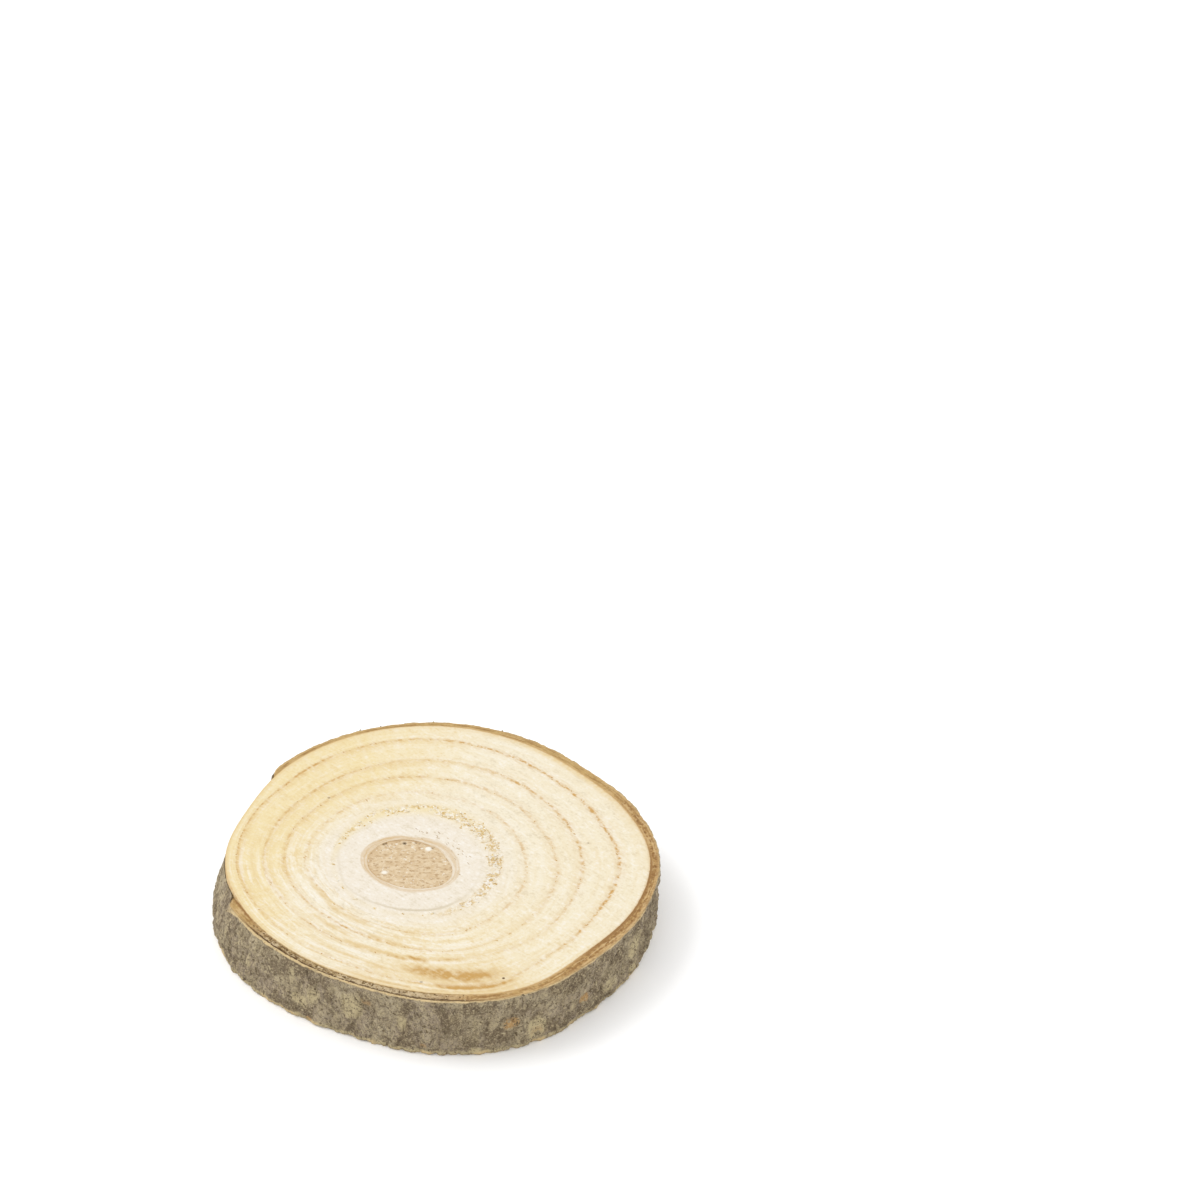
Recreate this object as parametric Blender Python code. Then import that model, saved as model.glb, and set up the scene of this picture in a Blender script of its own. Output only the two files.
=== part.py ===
"""Wood slice: a thin round sawn straight across a branch, with the bark left on.

The slice is one piece of wood, so it is one closed solid, standing on its lower sawn face.
It is lofted from rings of points, because no two of its sections are alike: up the bark, over
the bark's sawn edge, down into the split behind it, up to the wood's edge, then inward over
the growth rings to the pith. Angles run anticlockwise from +X, seen from above.
"""

import math

import bmesh
import bpy
from mathutils import Vector, noise

MM = 0.001

# Size of the slice
THICKNESS = 10.0 * MM
LEAN = 0.7 * MM
LEAN_DIRECTION = 150.0

# Outer edge of the bark, then how thick the bark is: every 22.5 degrees from +X, in millimetres
BARK_EDGE = (31.0, 29.9, 29.05, 30.2, 31.6, 32.3, 32.4, 32.1,
             32.5, 32.15, 30.65, 30.2, 31.45, 32.2, 31.2, 31.1)
BARK_THICKNESS = (1.3, 1.35, 1.35, 1.35, 1.35, 1.3, 1.4, 1.6,
                  1.5, 2.1, 1.5, 1.4, 1.75, 1.35, 1.95, 1.5)

# Growth rings and pith, in millimetres from the pith's own middle, every 22.5 degrees from +X
PITH_MIDDLE = (-4.3 * MM, -1.6 * MM)
PITH_EDGE = (5.5, 5.0, 5.1, 5.1, 5.6, 6.0, 6.5, 6.4,
             6.2, 5.8, 5.2, 5.1, 5.2, 5.6, 6.2, 6.0)
GROWTH_RINGS = (
    (29.5, 28.5, 28.1, 28.8, 29.2, 28.2, 26.2, 25.5,
     24.8, 23.6, 23.0, 23.3, 25.5, 28.6, 28.0, 28.4),
    (24.3, 23.9, 23.9, 24.2, 24.2, 23.3, 22.0, 21.4,
     21.0, 19.7, 19.1, 19.5, 20.5, 22.1, 23.7, 24.0),
    (20.7, 20.0, 20.0, 20.1, 20.3, 20.1, 19.3, 19.0,
     18.2, 16.9, 16.3, 16.7, 18.3, 20.3, 20.7, 20.8),
    (16.3, 16.1, 16.2, 16.3, 16.8, 16.6, 16.1, 15.7,
     15.2, 13.9, 13.7, 13.9, 15.0, 16.4, 16.4, 16.5),
    (9.9, 10.1, 10.2, 10.5, 10.6, 10.8, 11.0, 11.2,
     10.4, 10.3, 10.0, 9.8, 10.1, 10.5, 10.4, 9.95),
)
RING_GROOVE_WIDTH = 0.4 * MM
RING_GROOVE_DEPTH = 0.1 * MM
PITH_LIP_WIDTH = 0.35 * MM
PITH_DEPTH = 0.25 * MM

# Seam between wood and bark, and the split where the bark has dried away from the wood
SEAM_WIDTH = 0.15 * MM
SEAM_DEPTH = 0.12 * MM
SPLIT_WIDTH = 0.8 * MM
SPLIT_DEPTH = 1.6 * MM
SPLIT_ANGLES = (197.0, 212.0, 262.0, 287.0)
FLOOR_SHARE = 0.7

# Patch on the back where the outer bark has torn off, and the slope that runs out of it
TORN_DEPTH = 5.4 * MM
TORN_RAGGED = 1.3 * MM
TORN_RAGGED_SCALE = 3.2 * MM
TORN_INNER_ANGLES = (142.0, 144.5, 173.0, 184.0)
TORN_OUTER_ANGLES = (142.0, 144.5, 181.0, 199.0)
TORN_ROUNDING = 0.5 * MM

# Relief of the bark, drawn out along the stem, and its worn edges
BROAD_SCALE = 7.0 * MM
BROAD_HEIGHT = 0.16 * MM
FURROW_SCALE = 2.4 * MM
FURROW_DEPTH = 0.34 * MM
MEAN_FURROW = 0.44
GRAIN_STRETCH = 2.6
RIM_DROP = 0.06 * MM
RIM_RAGGED = 0.15 * MM
RIM_ROUNDING = 0.12 * MM
ROUNDING_HEIGHT = 1.6 * MM
FOOT_HEIGHT = 0.35 * MM
FOOT_ROUNDING = 0.2 * MM

# Points of the loft
POINTS_AROUND = 216
POINTS_PER_FACE_POINT = 3
BARK_ROWS = 8

# Finishes: colour, roughness, metallic
SAWN_WOOD = ("sawn_wood", (0.86, 0.74, 0.50), 0.72, 0.0)
BARK = ("bark", (0.16, 0.14, 0.10), 0.88, 0.0)
INNER_BARK = ("inner_bark", (0.38, 0.22, 0.09), 0.85, 0.0)
PITH = ("pith", (0.62, 0.42, 0.25), 0.9, 0.0)
FINISHES = (SAWN_WOOD, BARK, INNER_BARK, PITH)


def smooth(share):
    """Ease from 0 to 1, flat at both ends."""
    share = min(max(share, 0.0), 1.0)
    return share * share * (3.0 - 2.0 * share)


def stretch_of(degrees, angles):
    """1 inside a stretch of the rim, easing to 0 between each outer angle and its inner one."""
    rise_from, rise_to, fall_from, fall_to = angles
    rise = smooth((degrees - rise_from) / (rise_to - rise_from))
    fall = smooth((degrees - fall_from) / (fall_to - fall_from))
    return rise * (1.0 - fall)


def around(values, degrees):
    """Smooth closed curve through millimetre values spaced evenly round the slice."""
    place = (degrees % 360.0) / 360.0 * len(values)
    first = int(place)
    share = place - first
    before, here, after, beyond = (values[(first + k) % len(values)] for k in (-1, 0, 1, 2))
    bend = 2.0 * before - 5.0 * here + 4.0 * after - beyond
    twist = 3.0 * (here - after) + beyond - before
    return (here + 0.5 * share * (after - before + share * (bend + share * twist))) * MM


def directions(count):
    """Angles, in degrees, of evenly spaced points round the slice."""
    return [360.0 * step / count for step in range(count)]


def toward(degrees):
    """Level unit vector at an angle."""
    return Vector((math.cos(math.radians(degrees)), math.sin(math.radians(degrees)), 0.0))


def stem_point(radius, degrees, height):
    """Point of the leaning stem, which lies further over the lower down it is."""
    lean = toward(LEAN_DIRECTION) * LEAN * (1.0 - height / THICKNESS)
    return toward(degrees) * radius + lean + Vector((0.0, 0.0, height))


def wood_edge(degrees):
    """Radius at which the wood ends and the bark begins."""
    return around(BARK_EDGE, degrees) - around(BARK_THICKNESS, degrees)


def bark_relief(degrees, height):
    """How far the bark stands out or is furrowed at a point of its side."""
    spot = toward(degrees) * around(BARK_EDGE, degrees)
    spot.z = height / GRAIN_STRETCH
    swell = BROAD_HEIGHT * noise.noise(spot / BROAD_SCALE)
    furrow = 1.0 - min(1.0, 3.0 * abs(noise.noise(spot / FURROW_SCALE)))
    return swell - FURROW_DEPTH * (furrow - MEAN_FURROW)


def torn_height(degrees, angles):
    """How far the bark's upper edge is torn down below the sawn face."""
    ragged = TORN_RAGGED * noise.noise(toward(degrees) * around(BARK_EDGE, degrees) / TORN_RAGGED_SCALE)
    return stretch_of(degrees, angles) * (TORN_DEPTH + ragged)


def rim_height(degrees):
    """Height of the bark's outer upper edge, a little ragged all round."""
    spot = toward(degrees) * around(BARK_EDGE, degrees) / FURROW_SCALE
    ragged = RIM_RAGGED * abs(noise.noise(spot))
    return THICKNESS - RIM_DROP - ragged - torn_height(degrees, TORN_OUTER_ANGLES)


def bark_ring(share):
    """Ring up the bark's side, at a share of the way from its foot to its upper edge."""
    points = []
    for degrees in directions(POINTS_AROUND):
        top = rim_height(degrees)
        height = FOOT_HEIGHT + share * (top - FOOT_HEIGHT)
        near_top = smooth(1.0 - (top - height) / ROUNDING_HEIGHT)
        torn = stretch_of(degrees, TORN_OUTER_ANGLES)
        worn = near_top * (RIM_ROUNDING + torn * TORN_ROUNDING)
        radius = around(BARK_EDGE, degrees) + bark_relief(degrees, height) - worn
        points.append(stem_point(radius, degrees, height))
    return points


def foot_ring():
    """Lower edge of the bark, on the surface the slice rests on."""
    points = []
    for degrees in directions(POINTS_AROUND):
        radius = around(BARK_EDGE, degrees) + bark_relief(degrees, 0.0) - FOOT_ROUNDING
        points.append(stem_point(radius, degrees, 0.0))
    return points


def seam_ring(width_share, depth_share):
    """Ring in the seam between bark and wood, which opens into the split at the front."""
    points = []
    for degrees in directions(POINTS_AROUND):
        split = stretch_of(degrees, SPLIT_ANGLES)
        width = SEAM_WIDTH + split * SPLIT_WIDTH
        depth = SEAM_DEPTH + depth_share * (SEAM_DEPTH + split * SPLIT_DEPTH)
        height = THICKNESS - depth - torn_height(degrees, TORN_INNER_ANGLES)
        points.append(stem_point(wood_edge(degrees) + width_share * width, degrees, height))
    return points


def wood_edge_ring():
    """Upper edge of the wood, level with the sawn face."""
    return [stem_point(wood_edge(degrees), degrees, THICKNESS) for degrees in directions(POINTS_AROUND)]


def face_ring(radii, offset, depth):
    """Ring on the upper sawn face, measured from the pith's middle."""
    middle = Vector((*PITH_MIDDLE, THICKNESS - depth))
    count = POINTS_AROUND // POINTS_PER_FACE_POINT
    return [middle + toward(degrees) * (around(radii, degrees) + offset) for degrees in directions(count)]


def rings_of_slice():
    """Every ring of the loft, each with the finish of the faces between it and the next one."""
    rings = [(foot_ring(), BARK)]
    rings += [(bark_ring(row / BARK_ROWS), BARK) for row in range(BARK_ROWS)]
    rings.append((bark_ring(1.0), INNER_BARK))
    rings.append((seam_ring(1.0, 0.0), INNER_BARK))
    rings.append((seam_ring(FLOOR_SHARE, 1.0), INNER_BARK))
    rings.append((seam_ring(1.0 - FLOOR_SHARE, 1.0), SAWN_WOOD))
    rings.append((wood_edge_ring(), SAWN_WOOD))
    half = RING_GROOVE_WIDTH / 2.0
    for radii in GROWTH_RINGS:
        for offset, depth in ((half, 0.0), (0.0, RING_GROOVE_DEPTH), (-half, 0.0)):
            rings.append((face_ring(radii, offset, depth), SAWN_WOOD))
    rings.append((face_ring(PITH_EDGE, PITH_LIP_WIDTH, 0.0), PITH))
    rings.append((face_ring(PITH_EDGE, 0.0, PITH_DEPTH), PITH))
    return rings


def join_rings(bm, outer, inner, slot):
    """Faces from one ring to the next, which has as many points or a whole fraction of them."""
    ratio = len(outer) // len(inner)
    for step, corner in enumerate(inner):
        following = inner[(step + 1) % len(inner)]
        start = step * ratio
        for extra in range(ratio - 1):
            bm.faces.new((outer[start + extra], outer[start + extra + 1], corner)).material_index = slot
        last = outer[start + ratio - 1]
        beyond = outer[(start + ratio) % len(outer)]
        bm.faces.new((last, beyond, following, corner)).material_index = slot


def loft(bm, rings):
    """Close a stack of rings into one body, with a flat cap on its first and last ring."""
    loops = [[bm.verts.new(point) for point in points] for points, _ in rings]
    slots = [FINISHES.index(finish) for _, finish in rings]
    bm.faces.new(reversed(loops[0])).material_index = FINISHES.index(SAWN_WOOD)
    for outer, inner, slot in zip(loops, loops[1:], slots):
        join_rings(bm, outer, inner, slot)
    bm.faces.new(loops[-1]).material_index = slots[-1]


def centre_over_origin(bm):
    """Move the body sideways until the middle of its box stands over the origin."""
    for axis in (0, 1):
        places = [vert.co[axis] for vert in bm.verts]
        middle = (min(places) + max(places)) / 2.0
        for vert in bm.verts:
            vert.co[axis] -= middle


def make_material(name, colour, roughness, metallic):
    """Plain finish in one colour."""
    material = bpy.data.materials.new(name)
    material.use_nodes = True
    shader = material.node_tree.nodes["Principled BSDF"]
    shader.inputs["Base Color"].default_value = (*colour, 1.0)
    shader.inputs["Roughness"].default_value = roughness
    shader.inputs["Metallic"].default_value = metallic
    return material


def make_slice(collection):
    """The slice, as one object with a finish for each kind of surface."""
    bm = bmesh.new()
    loft(bm, rings_of_slice())
    centre_over_origin(bm)
    bmesh.ops.recalc_face_normals(bm, faces=bm.faces)
    mesh = bpy.data.meshes.new("wood_slice")
    bm.to_mesh(mesh)
    bm.free()
    for finish in FINISHES:
        mesh.materials.append(make_material(*finish))
    mesh.shade_smooth()
    mesh.set_sharp_from_angle(angle=math.radians(35.0))
    collection.objects.link(bpy.data.objects.new("wood_slice", mesh))


def main():
    """Clear the scene and build the slice in a collection of its own."""
    for leftover in list(bpy.data.objects):
        bpy.data.objects.remove(leftover)
    collection = bpy.data.collections.new("wood_slice")
    bpy.context.scene.collection.children.link(collection)
    make_slice(collection)


main()
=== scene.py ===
"""Looks of the wood slice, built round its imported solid.

The slice is dressed in the layers that a sawn branch shows: sawn wood with its growth rings,
pith, brown inner bark and grey outer bark, each a closed mesh, with the pores, torn fibres,
crumbs, splinters and scurf that sit on them. Shapes are worked out in millimetres, with
angles anticlockwise from +X as seen from above, and written to the meshes in metres.
"""

import logging
import math
from dataclasses import dataclass
from enum import Enum
from typing import Sequence

import bmesh
import bpy
import numpy as np
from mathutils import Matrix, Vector, noise


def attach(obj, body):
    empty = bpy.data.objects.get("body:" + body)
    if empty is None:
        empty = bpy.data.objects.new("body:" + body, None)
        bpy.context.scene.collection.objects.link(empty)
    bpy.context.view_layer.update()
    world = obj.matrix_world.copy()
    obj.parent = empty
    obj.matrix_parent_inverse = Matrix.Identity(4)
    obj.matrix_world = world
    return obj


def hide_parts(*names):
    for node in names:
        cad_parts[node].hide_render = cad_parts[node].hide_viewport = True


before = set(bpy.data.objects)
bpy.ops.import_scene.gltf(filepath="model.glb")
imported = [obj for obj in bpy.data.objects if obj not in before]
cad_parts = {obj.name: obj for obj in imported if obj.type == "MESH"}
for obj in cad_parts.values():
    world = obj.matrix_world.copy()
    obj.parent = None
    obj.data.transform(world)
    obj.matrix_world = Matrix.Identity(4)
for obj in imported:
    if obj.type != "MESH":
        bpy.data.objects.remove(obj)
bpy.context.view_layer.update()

MM = 0.001
NODE = "wood_slice"
BODY = "root"

# How much light the studio throws on the slice: colours below are given as they are seen in it
TOP_LIGHT = 1.47
SIDE_LIGHT = 1.32

log = logging.getLogger("wood_slice")

Colour = tuple[float, float, float, float]


def seen(code: str, light: float) -> Colour:
    """Work out a surface's own colour from the one seen in the studio's light.

    Args:
        code: The seen colour as six hexadecimal digits, red, green and blue.
        light: How much light falls on the surface.

    Returns:
        Linear red, green, blue and an alpha of 1.
    """
    shares = [int(code[start:start + 2], 16) / 255.0 for start in (0, 2, 4)]
    linear = [s / 12.92 if s <= 0.04045 else ((s + 0.055) / 1.055) ** 2.4 for s in shares]
    red, green, blue = (level / light for level in linear)
    return (red, green, blue, 1.0)


def on_top(code: str) -> Colour:
    """A colour seen on the upper sawn face."""
    return seen(code, TOP_LIGHT)


def on_side(code: str) -> Colour:
    """A colour seen on the bark's side."""
    return seen(code, SIDE_LIGHT)


def smooth(share: np.ndarray | float) -> np.ndarray:
    """Ease shares from 0 to 1, flat at both ends."""
    share = np.clip(share, 0.0, 1.0)
    return share * share * (3.0 - 2.0 * share)


def blend(under: np.ndarray | float, over: np.ndarray | float, share: np.ndarray | float) -> np.ndarray:
    """Go from one number to another as a share goes from 0 to 1."""
    return under * (1.0 - share) + over * share


def around(values: Sequence[float], degrees: np.ndarray) -> np.ndarray:
    """Read a smooth closed curve through values spaced evenly round the slice.

    Args:
        values: The values, the first of them at +X.
        degrees: Angles at which to read the curve.

    Returns:
        The curve at each angle.
    """
    table = np.asarray(values)
    place = np.mod(degrees, 360.0) / 360.0 * len(table)
    first = np.floor(place).astype(int)
    share = place - first
    before, here, after, beyond = (table[(first + k) % len(table)] for k in (-1, 0, 1, 2))
    bend = 2.0 * before - 5.0 * here + 4.0 * after - beyond
    twist = 3.0 * (here - after) + beyond - before
    return here + 0.5 * share * (after - before + share * (bend + share * twist))


def share_around(shares: Sequence[float], degrees: np.ndarray) -> np.ndarray:
    """Read a smooth closed curve through shares, held between 0 and 1."""
    return np.clip(around(shares, degrees), 0.0, 1.0)


def stretch_of(degrees: np.ndarray, angles: Sequence[float]) -> np.ndarray:
    """Mark a stretch of the rim: 1 inside it, easing to 0 at its ends.

    Args:
        degrees: Angles from 0 to 360.
        angles: Where the rise starts and ends, then where the fall starts and ends.

    Returns:
        The mark at each angle.
    """
    rise_from, rise_to, fall_from, fall_to = angles
    rise = smooth((degrees - rise_from) / (rise_to - rise_from))
    return rise * (1.0 - smooth((degrees - fall_from) / (fall_to - fall_from)))


def turn_between(degrees: np.ndarray, other: float) -> np.ndarray:
    """Signed turn from one angle to others, from -180 to 180 degrees."""
    return np.mod(degrees - other + 180.0, 360.0) - 180.0


def toward(degrees: np.ndarray) -> np.ndarray:
    """Level unit vectors at angles."""
    turn = np.radians(degrees)
    return np.stack([np.cos(turn), np.sin(turn), np.zeros_like(turn)], axis=-1)


def ripple(points: np.ndarray, scale: float, stretch: float = 1.0, shift: float = 0.0) -> np.ndarray:
    """Read smooth noise at points.

    Args:
        points: Points in millimetres, in rows of any shape.
        scale: Size of the noise's swells, in millimetres.
        stretch: How many times longer they are up the stem.
        shift: Moves to another part of the noise, for another pattern.

    Returns:
        Noise from -1 to 1 at each point.
    """
    spots = points.reshape(-1, 3) * (1.0, 1.0, 1.0 / stretch) / scale + shift
    return np.array([noise.noise(spot) for spot in spots.tolist()]).reshape(points.shape[:-1])


class SawnFace(Enum):
    """The two sawn faces of the slice."""

    UPPER = 1
    LOWER = -1


@dataclass(frozen=True)
class Patch:
    """A soft oval patch: where it lies round the slice, and how far out or up it lies there."""

    angle: float
    place: float
    half_angle: float
    half_place: float
    strength: float = 1.0
    drift: float = 0.0

    def mark(self, degrees: np.ndarray, place: np.ndarray | float) -> np.ndarray:
        """How strong the patch is at points.

        Args:
            degrees: Their angles.
            place: How far out or up they are.

        Returns:
            The mark, which is the patch's strength in its middle.
        """
        along = turn_between(degrees, self.angle) / self.half_angle
        across = (place - self.place - self.drift * along) / self.half_place
        return self.strength * np.exp(-along ** 4 - across ** 2)


def strongest(patches: Sequence[Patch], degrees: np.ndarray, place: np.ndarray | float) -> np.ndarray:
    """The strongest mark of several patches at points."""
    return np.max([patch.mark(degrees, place) for patch in patches], axis=0)


@dataclass(frozen=True)
class Flank:
    """A side of the slice: its middle angle, and the cosine and span over which it fades in."""

    middle: float
    start: float
    span: float

    def mark(self, degrees: np.ndarray) -> np.ndarray:
        """1 at angles on that side, easing to 0 away from it."""
        return smooth((np.cos(np.radians(degrees - self.middle)) - self.start) / self.span)


@dataclass(frozen=True)
class Swell:
    """Uneven relief: how high and how broad its swells are, and how much longer up the stem."""

    height: float
    breadth: float
    stretch: float = 1.0
    shift: float = 0.0

    def at(self, points: np.ndarray) -> np.ndarray:
        """Height of the relief at points."""
        return self.height * ripple(points, self.breadth, self.stretch, self.shift)


@dataclass(frozen=True)
class Plan:
    """Plan of the slice, in millimetres, read every 22.5 degrees from +X.

    The edges are measured from the middle of the stem, and the growth rings from the pith's.
    """

    thickness: float = 10.0
    lean: float = 0.7
    lean_direction: float = 150.0
    stem_middle: tuple[float, float] = (1.045, -0.176)
    bark_edge: tuple[float, ...] = (31.0, 29.9, 29.05, 30.2, 31.6, 32.3, 32.4, 32.1,
                                    32.5, 32.15, 30.65, 30.2, 31.45, 32.2, 31.2, 31.1)
    bark_thickness: tuple[float, ...] = (1.35, 1.5, 1.35, 1.2, 0.95, 0.8, 0.95, 1.6,
                                         1.5, 2.15, 1.55, 1.4, 1.75, 1.35, 1.95, 1.5)
    crest_inset: tuple[float, ...] = (0.0, 0.0, 0.0, 0.0, 0.0, 0.0, 0.0, 0.3,
                                      0.3, 0.5, 0.2, 0.0, 0.0, 0.0, 0.0, 0.0)
    pith_middle: tuple[float, float] = (-4.3, -1.6)
    pith_edge: tuple[float, ...] = (5.5, 5.0, 5.1, 5.1, 5.6, 6.15, 6.55, 6.55,
                                    6.3, 5.8, 5.2, 5.1, 5.2, 5.6, 6.2, 6.1)
    halo: tuple[float, ...] = (6.7, 6.45, 6.4, 6.3, 6.2, 7.05, 7.6, 7.7,
                               7.1, 6.3, 5.9, 5.75, 6.0, 6.2, 6.75, 7.0)
    rings: tuple[tuple[float, ...], ...] = (
        (9.9, 10.1, 10.2, 10.5, 10.6, 10.8, 11.0, 11.2,
         10.4, 10.3, 10.0, 9.8, 10.1, 10.5, 10.4, 9.95),
        (16.3, 16.1, 16.2, 16.3, 16.8, 16.6, 16.1, 15.7,
         15.2, 13.9, 13.7, 13.9, 15.0, 16.4, 16.4, 16.5),
        (20.7, 20.0, 20.0, 20.1, 20.3, 20.1, 19.3, 19.0,
         18.2, 16.9, 16.3, 16.7, 18.3, 20.3, 20.7, 20.8),
        (24.3, 23.9, 23.9, 24.2, 24.2, 23.3, 22.3, 21.8,
         21.2, 19.7, 19.1, 19.5, 20.5, 22.1, 23.7, 24.0),
        (29.5, 28.5, 28.1, 28.8, 29.2, 28.2, 26.5, 25.8,
         25.0, 23.6, 23.0, 23.3, 25.5, 28.6, 28.0, 28.4),
    )
    ring_vigour: tuple[tuple[float, ...], ...] = (
        (0.15, 0.10, 0.10, 0.10, 0.10, 0.10, 0.10, 0.20,
         0.30, 0.35, 0.45, 0.80, 1.00, 0.90, 0.45, 0.20),
        (0.45, 0.50, 0.45, 0.35, 0.35, 0.45, 0.45, 0.40,
         0.40, 0.45, 0.45, 0.35, 0.35, 0.35, 0.35, 0.40),
        (0.50, 0.55, 0.55, 0.50, 0.45, 0.50, 0.55, 0.50,
         0.45, 0.50, 0.65, 0.80, 0.55, 0.20, 0.20, 0.40),
        (0.65, 0.75, 0.85, 0.60, 0.40, 0.65, 0.70, 0.60,
         0.40, 0.35, 0.40, 0.50, 0.45, 0.20, 0.30, 0.55),
        (1.00, 1.00, 1.05, 0.90, 0.65, 0.85, 0.95, 0.95,
         0.80, 0.50, 0.35, 0.40, 0.60, 0.40, 0.60, 0.90),
    )
    split_angles: tuple[float, ...] = (197.0, 212.0, 262.0, 287.0)
    split_depth: float = 1.6
    torn_inner_angles: tuple[float, ...] = (142.0, 144.5, 166.0, 177.0)
    torn_outer_angles: tuple[float, ...] = (139.0, 144.5, 185.0, 205.0)
    torn_through_angles: tuple[float, ...] = (142.0, 144.5, 193.0, 200.0)
    torn_depth: float = 5.4
    torn_ragged: Swell = Swell(1.3, 3.2)

    def edge_of_bark(self, degrees: np.ndarray) -> np.ndarray:
        """Radius of the bark's outer edge."""
        return around(self.bark_edge, degrees)

    def edge_of_wood(self, degrees: np.ndarray) -> np.ndarray:
        """Radius at which the wood ends and the bark begins."""
        return around(self.bark_edge, degrees) - around(self.bark_thickness, degrees)

    def edge_of_crest(self, degrees: np.ndarray) -> np.ndarray:
        """Radius of the bark's outer edge at the sawn face, where it draws in a little."""
        return self.edge_of_bark(degrees) - around(self.crest_inset, degrees)

    def leaned(self, height: np.ndarray | float) -> np.ndarray:
        """How far the stem's lean moves a point at a height."""
        over = self.lean * (1.0 - np.asarray(height) / self.thickness)
        return toward(np.array(self.lean_direction)) * over[..., None]

    def stem(self, radius: np.ndarray, degrees: np.ndarray, height: np.ndarray | float) -> np.ndarray:
        """Place points of the leaning stem.

        Args:
            radius: How far out they are.
            degrees: In which direction.
            height: How high.

        Returns:
            Points about the middle of the stem.
        """
        height = np.broadcast_to(np.asarray(height, float), degrees.shape)
        up = height[:, None] * (0.0, 0.0, 1.0)
        return toward(degrees) * radius[:, None] + self.leaned(height) + up

    def torn_height(self, degrees: np.ndarray, angles: Sequence[float]) -> np.ndarray:
        """How far the bark is torn down below the upper sawn face.

        Args:
            degrees: Where to read it.
            angles: The stretch of the rim that is torn, as stretch_of takes it.

        Returns:
            How far down the tear goes at each angle.
        """
        rim = toward(degrees) * self.edge_of_bark(degrees)[:, None]
        return stretch_of(degrees, angles) * (self.torn_depth + self.torn_ragged.at(rim))


PLAN = Plan()


class Loft:
    """Rows of points, each one ring round the slice, that become one closed mesh."""

    def __init__(self, name: str, count: int) -> None:
        """Start an empty loft.

        Args:
            name: Name of the piece.
            count: Points in each ring.
        """
        self.name = name
        self.degrees = np.arange(count) * 360.0 / count
        self.rows: list[np.ndarray] = []
        self.marks: list[dict[str, np.ndarray]] = []

    def add(self, points: np.ndarray, **marks: np.ndarray | float) -> None:
        """Add a ring of points, in millimetres, with a number for each mark at each point."""
        self.rows.append(points)
        self.marks.append({name: np.broadcast_to(value, self.degrees.shape) for name, value in marks.items()})

    def build(self, tube: bool) -> bpy.types.Object:
        """Join the rings.

        Args:
            tube: Whether the last ring joins the first one. If not, both are capped.

        Returns:
            The piece, with its marks as attributes.
        """
        rows, count = len(self.rows), len(self.degrees)
        row = np.arange(rows if tube else rows - 1)[:, None]
        step = np.arange(count)[None, :]
        following = (step + 1) % count
        beyond = (row + 1) % rows
        corners = (row * count + step, row * count + following,
                   beyond * count + following, beyond * count + step)
        faces = np.stack(corners, axis=-1).reshape(-1, 4).tolist()
        if not tube:
            faces += [list(range(count)), list(range((rows - 1) * count, rows * count))]
        points = np.concatenate(self.rows) + (*PLAN.stem_middle, 0.0)
        mesh = bpy.data.meshes.new(self.name)
        mesh.from_pydata((points * MM).tolist(), [], faces)
        for name in self.marks[0]:
            values = np.concatenate([marks[name] for marks in self.marks]).astype(np.float32)
            mesh.attributes.new(name, "FLOAT", "POINT").data.foreach_set("value", values)
        return finished(self.name, mesh)

    def dressed(self, tube: bool, material: bpy.types.Material, slot: str) -> bpy.types.Object:
        """Join the rings, dress the piece and let it stand in for the plain solid.

        Args:
            tube: Whether the last ring joins the first one.
            material: The piece's material.
            slot: Not used.

        Returns:
            The piece.
        """
        piece = self.build(tube)
        piece.data.materials.append(material)
        settle(piece, stands_for_solid=True)
        return piece


def finished(name: str, mesh: bpy.types.Mesh, sharp_degrees: float = 50.0) -> bpy.types.Object:
    """Make a mesh an object at the origin, with its faces out and its edges shaded.

    Args:
        name: Name of the piece.
        mesh: The mesh, in place.
        sharp_degrees: Angle past which an edge is shaded sharp.

    Returns:
        The piece, linked to the scene.
    """
    bm = bmesh.new()
    bm.from_mesh(mesh)
    bmesh.ops.recalc_face_normals(bm, faces=bm.faces)
    bm.to_mesh(mesh)
    bm.free()
    mesh.shade_smooth()
    mesh.set_sharp_from_angle(angle=math.radians(sharp_degrees))
    piece = bpy.data.objects.new(name, mesh)
    bpy.context.scene.collection.objects.link(piece)
    return piece


def settle(piece: bpy.types.Object, stands_for_solid: bool = False) -> None:
    """Fix a finished piece to the slice's body and report it.

    Args:
        piece: The piece.
        stands_for_solid: Whether it stands in for the plain solid.
    """
    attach(piece, BODY)
    if stands_for_solid:
        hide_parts(NODE)
    log.info("%s: %d faces", piece.name, len(piece.data.polygons))


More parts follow.
